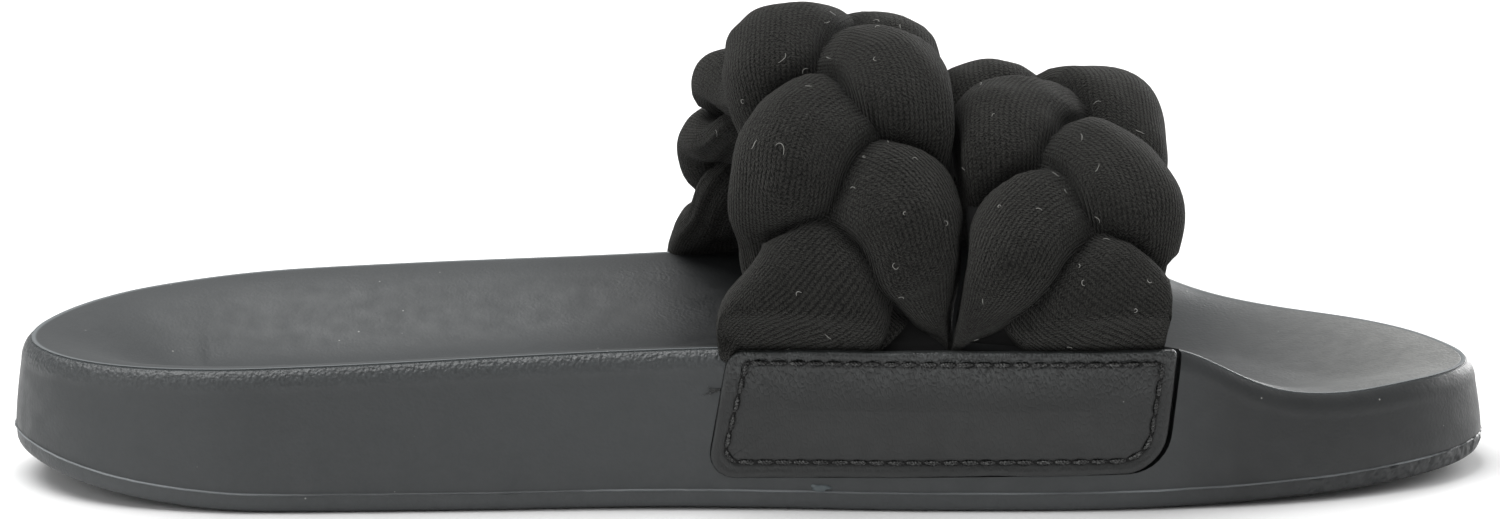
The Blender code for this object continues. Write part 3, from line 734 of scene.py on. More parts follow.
def underside_faces(ring, offset, flip=False):
    """Pairs off a ring's two sides, from its heel tip to its toe tip, into faces across the sole."""
    count = len(ring)
    heel = int(np.argmin(ring[:, 0]))
    toe = int(np.argmax(ring[:, 0]))
    order = [(heel + i) % count for i in range(count)]
    toe_at = order.index(toe)
    side_a = order[: toe_at + 1]
    side_b = [order[0]] + order[:toe_at - 1:-1]
    faces = []
    i = j = 0
    while i < len(side_a) - 1 or j < len(side_b) - 1:
        take_a = j >= len(side_b) - 1 or (
            i < len(side_a) - 1 and ring[side_a[i + 1], 0] <= ring[side_b[j + 1], 0]
        )
        a, b = side_a[i], side_b[j]
        if take_a:
            new = side_a[i + 1]
            i += 1
        else:
            new = side_b[j + 1]
            j += 1
        corners = []
        for c in (a, new, b):
            if c not in corners:
                corners.append(c)
        if len(corners) == 3:
            faces.append(tuple(offset + c for c in (corners[::-1] if flip else corners)))
    return faces


def make_outsole():
    """The bottom layer: a rounded rough edge, a torn little flash line above it, and a flat underside."""
    loop, inward, share = smooth_outline()
    count = len(loop)
    x = loop[:, 0]
    rise = ground_rise(x)
    along = np.linspace(0, 1, count, endpoint=False) * 2 * math.pi
    spots = np.column_stack([loop, np.zeros(count)])
    ragged = ripple(spots, 3.2, 11, 3)
    profile = (
        (1.35, 0.0),
        (1.0, 0.12),
        (0.62, 0.42),
        (0.36, 0.85),
        (0.2, 1.5),
        (0.1, 2.2),
        (0.06, 2.8),
        (0.04, 3.1),
        (-0.1, 3.22),
        (-0.26, 3.32),
        (-0.28, 3.42),
        (-0.2, 3.5),
        (0.02, 3.58),
        (0.4, 3.6),
        (1.2, 3.56),
    )
    stack = []
    for inset, height in profile:
        wobble = 0.0
        if inset < 0:
            wobble = 0.06 * ragged
        place = inset_loop(loop, inward, inset + wobble[:, None] if inset < 0 else inset)
        z = rise + height + (0.05 * ripple(spots, 9.0, 12) if inset < 0 else 0.0)
        if 0.8 < height < 3.1:
            rough = 0.05 + 0.10 * smoothstep(70.0, 110.0, x)
            dimple = ripple(spots + np.array([0.0, 0.0, height]), 2.6, 15, 2)
            place = place - inward * (rough * dimple)[:, None]
        stack.append(np.column_stack([place, z]))
    stack = np.array(stack)
    vertices = stack.reshape(-1, 3)
    faces = grid_faces(len(stack), count)
    faces += underside_faces(stack[0], 0, True)
    faces += underside_faces(stack[-1], (len(stack) - 1) * count)
    obj = new_piece("outsole_skin", vertices, faces, ["outsole"])
    outward(obj)
    for name in ("shoulder", "ridge", "bed"):
        layer = obj.data.attributes.new(name, "FLOAT", "POINT")
        values = np.zeros((len(stack), count), np.float32)
        if name == "ridge":
            # the flash line shows brightest behind the heel and comes and goes further on
            shine = np.clip(0.45 + 0.5 * ripple(spots, 30.0, 14, 2) + 0.6 * smoothstep(-84.0, -118.0, x), 0.12, 1.0)
            values[8:12] = shine
        layer.data.foreach_set("value", values.reshape(-1))
    obj.data.set_sharp_from_angle(angle=math.radians(40))
    return obj


def rounded(corners, steps=10):
    points = []
    count = len(corners)
    for i, (cx, cz, radius) in enumerate(corners):
        here = np.array([cx, cz])
        before = np.array(corners[i - 1][:2]) - here
        after = np.array(corners[(i + 1) % count][:2]) - here
        before /= np.linalg.norm(before)
        after /= np.linalg.norm(after)
        half = math.acos(float(np.clip(before @ after, -1, 1))) / 2
        run = radius / math.tan(half)
        middle = before + after
        centre = here + middle / np.linalg.norm(middle) * (radius / math.sin(half))
        start, end = here + before * run - centre, here + after * run - centre
        turn = math.atan2(start[0] * end[1] - start[1] * end[0], float(start @ end))
        for k in range(steps + 1):
            angle = turn * k / steps
            c, s = math.cos(angle), math.sin(angle)
            points.append(centre + np.array([c * start[0] - s * start[1], s * start[0] + c * start[1]]))
    return np.array(points)


def even_polygon(points, spacing):
    """The closed polygon walked at even spacing, with its inward normals and running length."""
    closed = np.concatenate([points, points[:1]])
    steps = np.linalg.norm(np.diff(closed, axis=0), axis=1)
    keep = np.concatenate([[True], steps > 1e-6])
    closed = closed[keep]
    run = np.concatenate([[0.0], np.cumsum(np.linalg.norm(np.diff(closed, axis=0), axis=1))])
    count = int(round(run[-1] / spacing))
    even = np.linspace(0, run[-1], count, endpoint=False)
    line = np.stack([np.interp(even, run, closed[:, k]) for k in range(2)], 1)
    tangent = np.roll(line, -1, 0) - np.roll(line, 1, 0)
    tangent /= np.linalg.norm(tangent, axis=1)[:, None]
    area = 0.5 * float(np.sum(line[:, 0] * np.roll(line[:, 1], -1) - np.roll(line[:, 0], -1) * line[:, 1]))
    turn = 1.0 if area > 0 else -1.0
    inward = np.stack([-tangent[:, 1], tangent[:, 0]], 1) * turn
    return line, inward, even, run[-1]


def recess_cutter(side, name, corners, open_top):
    """A block that follows the wall, for the panel's recess; open_top adds the slot the braids leave by."""
    shift = PANEL_SHIFT[side]
    line, inward, _, _ = even_polygon(rounded(corners), 1.5)
    if open_top:
        line = np.array(
            [(x, z) for x, z in ((corners[0][0] + 0.2, 24.0), (corners[3][0] - 0.6, 24.0), (corners[3][0], 46.0), (corners[0][0] + 0.2, 46.0))]
        )
    bm = bmesh.new()
    face = bm.faces.new([bm.verts.new((p[0], 0.0, p[1])) for p in line])
    made = bmesh.ops.extrude_face_region(bm, geom=[face])
    for item in made["geom"]:
        if isinstance(item, bmesh.types.BMVert):
            item.co.y = 1.0
    xs = [v.co.x for v in bm.verts]
    zs = [v.co.z for v in bm.verts]
    cuts_x = np.linspace(min(xs), max(xs), 40)[1:-1]
    cuts_z = np.linspace(min(zs), max(zs), 9)[1:-1]
    for normal, cuts in (((1, 0, 0), cuts_x), ((0, 0, 1), cuts_z)):
        for cut in cuts:
            bmesh.ops.bisect_plane(
                bm,
                geom=bm.verts[:] + bm.edges[:] + bm.faces[:],
                dist=1e-5,
                plane_co=tuple(float(cut) * n for n in normal),
                plane_no=normal,
            )
    depth = RECESS_DEPTH
    for vert in bm.verts:
        x, z = vert.co.x + shift, vert.co.z
        wall = abs(float(wall_y(x, min(z, 26.0), side)))
        vert.co = (x * MM, side * (wall + 4.0 - (4.0 + depth) * vert.co.y) * MM, z * MM)
    bmesh.ops.recalc_face_normals(bm, faces=bm.faces)
    bmesh.ops.triangulate(bm, faces=bm.faces)
    mesh = bpy.data.meshes.new(name)
    bm.to_mesh(mesh)
    bm.free()
    obj = bpy.data.objects.new(name, mesh)
    bpy.context.scene.collection.objects.link(obj)
    return obj


def cut(obj, cutter):
    modifier = obj.modifiers.new("cut", "BOOLEAN")
    modifier.operation = "DIFFERENCE"
    modifier.solver = "EXACT"
    modifier.object = cutter
    bpy.context.view_layer.update()
    graph = bpy.context.evaluated_depsgraph_get()
    mesh = bpy.data.meshes.new_from_object(obj.evaluated_get(graph))
    obj.modifiers.clear()
    obj.data = mesh
    bpy.data.objects.remove(cutter, do_unlink=True)


def grown(corners, by, toe_by=None):
    toe_by = by if toe_by is None else toe_by
    mid_x = sum(c[0] for c in corners) / len(corners)
    mid_z = sum(c[1] for c in corners) / len(corners)
    return tuple(
        (cx + (toe_by if cx > mid_x else -by), cz + (by if cz > mid_z else -by), radius + by)
        for cx, cz, radius in corners
    )


# ---------------------------------------------------------------- panels
PANEL_EDGE = 0.55  # how round the sheet's cut edge is
SEAM_CORNERS = (
    (-3.2, 26.7, 0.7),
    (-7.5, 8.8, 2.4),
    (67.6, 9.2, 6.0),
    (70.3, 26.5, 0.5),
)
STITCH_PITCH = 3.3


def panel_point(x, z, side, out):
    wall = np.abs(wall_y(x, z, side))
    return np.stack([x, side * (wall + out), z], -1)


def seam_line():
    line, _, along, total = even_polygon(rounded(SEAM_CORNERS), 0.25)
    return line, along, total


def seam_distance(place):
    """Each place's distance from the seam, and the seam's running length there."""
    line, along, _ = seam_line()
    gaps = ((place[:, None, :] - line[None, :, :]) ** 2).sum(2)
    nearest = gaps.argmin(1)
    return np.sqrt(gaps[np.arange(len(place)), nearest]), along[nearest]


def make_panel(side, word):
    """A sheet with a softly rounded cut edge, pulled down along its stitch line and slightly full between."""
    shift = PANEL_SHIFT[side]
    line, inward, along, total = even_polygon(rounded(PANEL_CORNERS), 0.55)
    wave = ripple(np.column_stack([line, np.zeros(len(line))]), 16.0, 21 + side, 2)
    line = line + inward * (0.10 * wave)[:, None]
    top = smoothstep(27.5, 29.0, line[:, 1])
    count = len(line)
    centre = np.array([31.5, 18.2])
    rings = []
    insets = list(np.linspace(0, PANEL_EDGE, 5)) + list(np.linspace(PANEL_EDGE, 4.2, 28)[1:])
    for k, inset in enumerate(insets):
        place = line + inward * inset
        t = min(inset / PANEL_EDGE, 1.0)
        out = PANEL_PROUD - 0.30 * (1 - math.sqrt(max(0.0, 1 - (1 - t) ** 2)))
        # the thread pulls the sheet down along the seam, most where each stitch enters
        off, at = seam_distance(place)
        beat = 0.5 + 0.5 * np.cos(2 * math.pi * at / STITCH_PITCH)
        dent = 0.30 * np.exp(-((off / 0.5) ** 2)) * (0.35 + 0.65 * beat)
        lift = 0.10 * math.exp(-(((inset - 0.9) / 0.5) ** 2))
        out = out - dent + lift
        rings.append((place, np.full(count, 1.0) * out))
    inner_line = line + inward * 4.2
    reach = np.linalg.norm(centre - inner_line, axis=1)
    for fraction in np.linspace(0, 1, 16)[1:]:
        place = inner_line.copy()
        # towards the panel's long middle line
        target = np.column_stack([np.clip(inner_line[:, 0], 6.0, 57.0), np.full(count, 18.2)])
        place = inner_line + (target - inner_line) * fraction
        soft = 0.22 * fraction
        rings.append((place, np.full(count, PANEL_PROUD) + soft))
    vertices = []
    for place, out in rings:
        x, z = place[:, 0] + shift, place[:, 1]
        uneven = 0.05 * ripple(np.column_stack([x, z, np.zeros(count)]), 22.0, 5 + side, 2)
        vertices.append(panel_point(x, z, side, out + uneven))
    # the edge goes back to the inner face
    back = []
    for inset, out in ((0.0, -0.2), (0.0, PANEL_PROUD - PANEL_THICKNESS)):
        place = line + inward * inset
        back.append(panel_point(place[:, 0] + shift, place[:, 1], side, out))
    stack = np.array(back[::-1] + vertices)
    faces = grid_faces(len(stack), count)
    faces.append(tuple(range(count)))
    obj = new_piece(
        f"side_panel_{word}_sheet", stack.reshape(-1, 3), faces, [f"side_panel_{word}"]
    )
    bm = bmesh.new()
    bm.from_mesh(obj.data)
    bmesh.ops.remove_doubles(bm, verts=bm.verts, dist=1e-7)
    bmesh.ops.recalc_face_normals(bm, faces=bm.faces)
    bm.to_mesh(obj.data)
    bm.free()
    obj.data.shade_smooth()
    obj.data.set_sharp_from_angle(angle=math.radians(50))
    places = np.zeros(len(obj.data.vertices) * 3, np.float32)
    obj.data.vertices.foreach_get("co", places)
    places = places.reshape(-1, 3)[:, [0, 2]] / MM
    places[:, 0] -= shift
    # seam: the stitch line, which the leather paints dark as shade
    seam = np.exp(-((seam_distance(places)[0] / 0.62) ** 2.5))
    gaps = ((places[:, None, :] - line[None, :, :]) ** 2).sum(2)
    edge = 1 - smoothstep(0.12, 0.55, np.sqrt(gaps.min(1)))
    # the edge shows most along the top, where its paleness is a painted highlight
    strong = np.maximum(smoothstep(26.0, 28.0, places[:, 1]), 0.35 * (1 - smoothstep(2.0, 12.0, places[:, 0])))
    strong = np.maximum(strong, 0.35 * (1 - smoothstep(7.5, 9.5, places[:, 1])))
    for name, values in (("seam", seam), ("rim", edge * strong)):
        layer = obj.data.attributes.new(name, "FLOAT", "POINT")
        layer.data.foreach_set("value", np.asarray(values, np.float32))
    return obj


def tube(points, radii, sides=8, twist=None):
    """A closed tube along points, as vertices and faces, with a flat cap at both ends."""
    points = np.asarray(points, float)
    tangent = np.gradient(points, axis=0)
    tangent /= np.linalg.norm(tangent, axis=1)[:, None] + 1e-12
    up = np.zeros_like(points)
    guide = np.array([0.0, 0.0, 1.0])
    if abs(tangent[0] @ guide) > 0.9:
        guide = np.array([1.0, 0.0, 0.0])
    previous = guide - tangent[0] * (tangent[0] @ guide)
    previous /= np.linalg.norm(previous)
    for i in range(len(points)):
        previous = previous - tangent[i] * (tangent[i] @ previous)
        previous /= np.linalg.norm(previous) + 1e-12
        up[i] = previous
    across = np.cross(tangent, up)
    turn = np.linspace(0, 2 * math.pi, sides, endpoint=False)
    vertices = []
    for i in range(len(points)):
        for angle in turn:
            vertices.append(
                points[i] + (across[i] * math.cos(angle) + up[i] * math.sin(angle)) * radii[i]
            )
    faces = grid_faces(len(points), sides)
    faces.append(tuple(range(sides))[::-1])
    last = (len(points) - 1) * sides
    faces.append(tuple(last + i for i in range(sides)))
    return vertices, faces


def make_stitches(side, word, hole_material):
    """Two-ply lockstitch thread along the panel's seam."""
    shift = PANEL_SHIFT[side]
    seam, along, total = seam_line()
    rng = np.random.RandomState(40 + side)
    number = int(round(total / STITCH_PITCH))
    pitch = total / number
    vertices, faces = [], []
    for n in range(number):
        start = n * pitch + rng.uniform(-0.12, 0.12)
        length = pitch * rng.uniform(0.90, 0.97)
        s = np.linspace(0, 1, 15)
        at = (start + s * length) % total
        x = np.interp(at, np.append(along, total), np.append(seam[:, 0], seam[0, 0]))
        z = np.interp(at, np.append(along, total), np.append(seam[:, 1], seam[0, 1]))
        lean = rng.uniform(-0.10, 0.10)
        arc = np.sin(math.pi * s) ** 0.6
        tx, tz = np.gradient(x), np.gradient(z)
        norm = np.hypot(tx, tz) + 1e-9
        nx, nz = -tz / norm, tx / norm
        for ply in range(2):
            turn = 2 * math.pi * (s * 2.6 + 0.5 * ply)
            sideways = 0.20 * np.cos(turn) * arc + lean * (s - 0.5)
            raised = 0.20 * np.sin(turn) * arc
            px = x + nx * sideways + shift
            pz = z + nz * sideways
            out = PANEL_PROUD - 0.50 + 0.72 * arc + raised
            points = panel_point(px, pz, side, out)
            radii = 0.26 * (0.5 + 0.5 * arc)
            v, f = tube(points, radii, 7)
            offset = len(vertices)
            vertices += v
            faces += [tuple(i + offset for i in face) for face in f]
    obj = new_piece(f"side_panel_{word}_thread", vertices, faces)
    outward(obj)
    # needle holes: a dark sunk disc where each stitch goes down, painted black as the shade in the hole
    spots, sheets = [], []
    for n in range(number):
        at = (n * pitch - 0.04) % total
        x = np.interp(at, np.append(along, total), np.append(seam[:, 0], seam[0, 0])) + shift
        z = np.interp(at, np.append(along, total), np.append(seam[:, 1], seam[0, 1]))
        base = len(spots)
        ring = np.linspace(0, 2 * math.pi, 10, endpoint=False)
        off, place = seam_distance(np.array([[x - shift, z]]))
        px, pz = x + 0.42 * np.cos(ring), z + 0.38 * np.sin(ring)
        spots += list(panel_point(px, pz, side, PANEL_PROUD - 0.16))
        spots.append(panel_point(np.array([x]), np.array([z]), side, PANEL_PROUD + 0.10)[0])
        sheets += [(base + i, base + (i + 1) % 10, base + 10) for i in range(10)]
    holes = new_piece(f"side_panel_{word}_holes", spots, sheets)
    set_material(holes, hole_material)
    return obj


# ---------------------------------------------------------------- braids
RIBS = 78  # ribs round one strand
STRAND_RING = 0.75
STRAND_POINTS = 112


def arch_line(size):
    turn = np.linspace(0.0, math.pi, 721)
    power = 2.0 / np.where(turn < math.pi / 2, size["fullness"][0], size["fullness"][1])
    inner, outer = (wall - ARCH_INSET for wall in size["wall"])
    across = -np.sign(np.cos(turn)) * np.abs(np.cos(turn)) ** power
    y = np.where(across < 0, across * inner, across * outer)
    z = ARCH_BASE_Z + (size["top"] - ARCH_BASE_Z) * np.abs(np.sin(turn)) ** power
    y = np.concatenate([[y[0]], y, [y[-1]]])
    z = np.concatenate([[STRAND_END_Z], z, [STRAND_END_Z]])
    keep = np.concatenate([[True], np.hypot(np.diff(y), np.diff(z)) > 1e-6])
    y, z = y[keep], z[keep]
    run = np.concatenate([[0.0], np.cumsum(np.hypot(np.diff(y), np.diff(z)))])
    even = np.linspace(0.0, run[-1], 481)
    y, z = np.interp(even, run, y), np.interp(even, run, z)
    x = monotone(np.linspace(0, run[-1], 5), size["centre_x"], even)
    line = np.stack([x, y, z], 1)
    # a light smoothing, so that the arch has no kink where its legs begin
    for _ in range(30):
        line[1:-1] = (line[:-2] + 2 * line[1:-1] + line[2:]) / 4
    tangent = np.gradient(line, even, axis=0)
    tangent /= np.linalg.norm(tangent, axis=1)[:, None]
    normal = np.stack([np.zeros_like(x), -tangent[:, 2], tangent[:, 1]], 1)
    normal /= np.linalg.norm(normal, axis=1)[:, None]
    return even, line, tangent, normal


def sample(run, values, s):
    return np.stack([np.interp(s, run, values[:, k]) for k in range(3)], 1)


def strand_path(size, strand, s):
    run, line, _, normal = arch_line(size)
    crossings = size["crossings"]
    passed = monotone(crossings, np.arange(len(crossings)) - 2.0, s)
    turn = math.radians(CROSSING_TURN) - math.pi / 3 * passed + 2 * math.pi * strand / 3
    place = sample(run, line, s)
    out = sample(run, normal, s)
    out /= np.linalg.norm(out, axis=1)[:, None]
    over = np.sin(2 * turn + math.radians(STRAND_LEAD))
    over = np.tanh(1.2 * over) / math.tanh(1.2)
    place = place + out * (STRAND_LIFT * over)[:, None]
    sway = np.tanh(STRAND_SQUARE * np.sin(turn)) / math.tanh(STRAND_SQUARE)
    spread = 1 + BASE_SPREAD * (1 - smoothstep(2.0, 20.0, s))
    aside = size["mirror"] * STRAND_SWING * sway * spread
    place[:, 0] += aside
    # over the top the braid leans down towards the toes
    place[:, 2] -= size["lean"] * np.maximum(aside, 0.0) * np.clip(out[:, 2], 0, 1)
    kind, towards = base_kind(size, strand)
    width = np.ones(len(s))
    if kind == "tip":
        # the strand narrows to a point beside the other braid
        width = np.interp(s, (1.0, 2.8, 4.6, 7.0, 11.0, 16.0, 26.0, 34.0), (0.06, 0.12, 0.22, 0.42, 0.70, 0.94, 1.04, 1.0))
        place[:, 0] += towards * 0.85 * STRAND_HALF_WIDTH * np.maximum(1 - width, 0.0)
        place[:, 0] += towards * size["press"] * smoothstep(6.0, 13.0, s) * (1 - smoothstep(26.0, 36.0, s))
        low = np.maximum(0.6 - over, 0.0) * (1 - smoothstep(10.0, 20.0, s))
        place += out * (STRAND_LIFT * low)[:, None]
        over = over + low
    elif kind == "lobe":
        full = np.interp(s, (3.0, 5.0, 9.0, 13.0, 20.0), (0.1, 0.45, 1.0, 0.8, 0.0))
        # low down it draws back from the tip
        back = 1 - smoothstep(3.0, 10.5, s)
        width = 1 + 0.30 * full - 0.20 * back
        place[:, 0] -= towards * (2.0 * full - 6.6 * back)
    else:
        near = 1 - smoothstep(8.0, 18.0, s)
        place[:, 0] += towards * 7.5 * near
        width = 1 + 0.15 * near
        low = (-0.10 - over) * near
        place += out * (STRAND_LIFT * low)[:, None]
        over = over + low
    return place, out, over, turn, width


def base_kind(size, strand):
    """What a strand is where the near end goes behind the panel: a tip, a broad lobe, or the patch between them."""
    crossings = size["crossings"]
    passed = float(monotone(crossings, np.arange(len(crossings)) - 2.0, np.array([8.0]))[0])
    turn = CROSSING_TURN - 60.0 * passed + 120.0 * strand
    phase = (turn - 35.0 + 90.0) % 180.0 - 90.0 + 35.0
    lobe_side = 1.0 if math.cos(math.radians(turn - 35.0)) > 0 else -1.0
    kind = "tip" if phase > 70.0 else "lobe" if phase > 5.0 else "patch"
    return kind, lobe_side * size["mirror"]


def valley_x(y, z):
    """Where the two braids press together: x at a place."""
    rear, front = BRAIDS["braid_rear"], BRAIDS["braid_front"]
    middle = (np.array(rear["centre_x"]) + np.array(front["centre_x"])) / 2
    base = np.interp(y, (-40.0, -30.0, 0.0, 30.0, 40.0), middle)
    near = smoothstep(-20.0, -36.0, y) if False else 1 - smoothstep(-36.0, -18.0, y)
    bend = np.interp(z, (29.0, 36.0, 44.0, 54.0, 62.0, 72.0), (-0.6, 0.6, 2.1, 2.1, 1.0, 0.2))
    return base + near * bend


def clamp_base(points, side, under=0.0):
    """Gathers a braid's end into the slot between its panel and the foam, a strand that is under behind the others."""
    y, z = points[:, 1], points[:, 2]
    x = points[:, 0]
    wall = np.abs(wall_y(x, np.minimum(z, 26.0), side))
    inset = wall - side * y
    near = smoothstep(0.0, 8.0, side * y)
    behind = under * np.interp(z, (28.2, 29.4, 31.0, 34.0, 38.0), (0.5, 0.5, 0.9, 2.0, 4.0))
    outer_limit = behind + np.interp(z, (28.2, 29.2, 30.0, 31.4, 34.0, 38.0), (1.6, 1.5, 0.4, -0.3, -1.9, -8.0))
    inner_limit = np.interp(z, (28.0, 29.6, 30.6, 32.0, 35.0, 40.0, 46.0), (3.7, 3.8, 5.4, 8.5, 13.0, 20.0, 60.0))
    # beyond the panel's heel-side corner the cloth hangs over the sole's shoulder
    free = 1 - smoothstep(-6.6, -4.2, x - PANEL_SHIFT[side])
    low = np.interp(z, (25.8, 26.6, 28.0, 30.3), (1.2, -0.1, -0.5, -0.6))
    outer_limit = np.where(z < 30.3, outer_limit + (low - outer_limit) * free, outer_limit)
    eased = soft_max(soft_min(inset, inner_limit, 0.35), outer_limit, 0.25)
    new_inset = np.where(near > 0, inset + (eased - inset) * near, inset)
    out = points.copy()
    out[:, 1] = side * (wall - new_inset)
    return out


def knit_map(obj, rows, count, u_values, v_values):
    """Gives a ring mesh its map: u in ribs round it, v in millimetres along it, with no seam jump."""
    mesh = obj.data
    layer = mesh.uv_layers.new(name="knit")
    loops = np.zeros(len(mesh.loops), np.int32)
    mesh.loops.foreach_get("vertex_index", loops)
    ring = loops // count
    place = loops % count
    u = u_values[place]
    starts = np.zeros(len(mesh.polygons), np.int32)
    totals = np.zeros(len(mesh.polygons), np.int32)
    mesh.polygons.foreach_get("loop_start", starts)
    mesh.polygons.foreach_get("loop_total", totals)
    for start, total in zip(starts, totals):
        if total == 4:
            chunk = place[start : start + 4]
            if chunk.max() - chunk.min() > count // 2:
                for k in range(4):
                    if place[start + k] == 0:
                        u[start + k] = RIBS
    uv = np.stack([u, v_values[np.minimum(ring, rows - 1)]], 1).astype(np.float32)
    layer.data.foreach_set("uv", uv.reshape(-1))


def make_strand(name, strand, material):
    size = BRAIDS[name]
    run, _, _, _ = arch_line(size)
    length = run[-1]
    rows = int(round(length / STRAND_RING)) + 1
    s = np.linspace(0.0, length, rows)
    path, out, over, turn, width = strand_path(size, strand, s)
    # soften the path a little, as stuffed cloth does
    for _ in range(6):
        path[1:-1] = (path[:-2] + 2 * path[1:-1] + path[2:]) / 4
    tangent = np.gradient(path, axis=0)
    step = np.linalg.norm(tangent, axis=1)
    tangent /= step[:, None]
    up = out - tangent * (out * tangent).sum(1)[:, None]
    up /= np.linalg.norm(up, axis=1)[:, None]
    across = np.cross(tangent, up)
    along = np.concatenate([[0.0], np.cumsum(np.linalg.norm(np.diff(path, axis=0), axis=1))])
    # fullest where a strand comes out on top, drawn in where it turns under at the edge
    late = (np.degrees(turn) - 118.0 + 90.0) % 180.0 - 90.0
    swell = 1 + STRAND_SWELL * np.cos(2 * turn - math.radians(70.0)) - STRAND_TAPER * smoothstep(4.0, 24.0, s) * np.exp(-((late / 30.0) ** 2))
    wide = STRAND_HALF_WIDTH * swell * width
    thick = STRAND_HALF_THICKNESS * swell * np.clip(width, 0.45, 1.0) ** 0.5
    angle = np.linspace(0, 2 * math.pi, STRAND_POINTS, endpoint=False)
    c, sn = np.cos(angle), np.sin(angle)
    power = 2 / 2.1
    cx = np.sign(c) * np.abs(c) ** power
    sx = np.sign(sn) * np.abs(sn) ** power
    sx = np.where(sx < 0, sx * INNER_SHARE, sx)
    # where a broad lobe goes down behind the panel its outer face is pulled flat from edge to edge
    flat_end = (1 - smoothstep(3.0, 13.0, s)) if base_kind(size, strand)[0] == "lobe" else np.zeros(len(s))
    boxy = np.where(sn > 0, np.abs(sn) ** 0.36, sx)
    section = sx[None, :] + (boxy - sx)[None, :] * flat_end[:, None]
    points = (
        path[:, None, :]
        + across[:, None, :] * (wide[:, None] * cx[None, :])[:, :, None]
        + up[:, None, :] * (thick[:, None] * section)[:, :, None]
    )
    radial = across[:, None, :] * c[None, :, None] / 1.0 + up[:, None, :] * sn[None, :, None]
    flat = points.reshape(-1, 3)
    radial = radial.reshape(-1, 3)
    seed = 60 + strand + (10 if name == "braid_front" else 0)
    # soft lumps in the filling, and finer puckers near where a strand is pinched
    lumps = 0.32 * ripple(flat, 17.0, seed, 2)
    pinch = np.clip(0.5 - 0.5 * over, 0, 1) ** 2
    pleat = 0.16 * np.sin(angle[None, :] * 11 + 1.3 * np.sin(along[:, None] / 6.0 + seed)) * pinch[:, None]
    flat = flat + radial * (lumps + pleat.reshape(-1))[:, None]
    # press the two braids against each other
    limit = valley_x(flat[:, 1], flat[:, 2])
    if name == "braid_rear":
        flat[:, 0] = soft_min(flat[:, 0], limit - 0.1, 0.45)
    else:
        flat[:, 0] = soft_max(flat[:, 0], limit + 0.1, 0.45)
    under = np.repeat(0.5 - 0.5 * over, STRAND_POINTS)
    for side in (-1, 1):
        chosen = flat[:, 1] * side > 0
        flat[chosen] = clamp_base(flat[chosen], side, under[chosen])
    # keep the ends inside the slot's length
    for side in (-1, 1):
        shift = PANEL_SHIFT[side]
        chosen = flat[:, 1] * side > 0
        low = np.interp(flat[:, 2], (26.0, 28.0, 31.0, 34.0, 37.0, 40.0, 43.0, 47.0), (-7.5, -8.0, -8.3, -8.4, -7.9, -7.0, -6.1, -30.0)) + shift
        high = np.interp(flat[:, 2], (28.0, 31.0, 34.0, 37.0, 40.0, 43.0, 47.0), (70.6, 71.0, 71.3, 71.6, 71.9, 72.3, 95.0)) + shift
        x = soft_min(soft_max(flat[:, 0], low, 0.6), high, 0.6)
        flat[chosen, 0] = x[chosen]
    faces = grid_faces(rows, STRAND_POINTS)
    faces.append(tuple(range(STRAND_POINTS))[::-1])
    last = (rows - 1) * STRAND_POINTS
    faces.append(tuple(last + i for i in range(STRAND_POINTS)))
    obj = new_piece(f"{name}_strand_{strand + 1}", flat, faces, [name])
    outward(obj)
    u = np.arange(STRAND_POINTS) / STRAND_POINTS * RIBS
    knit_map(obj, rows, STRAND_POINTS, u, along)
    set_material(obj, material)
    return obj, rows


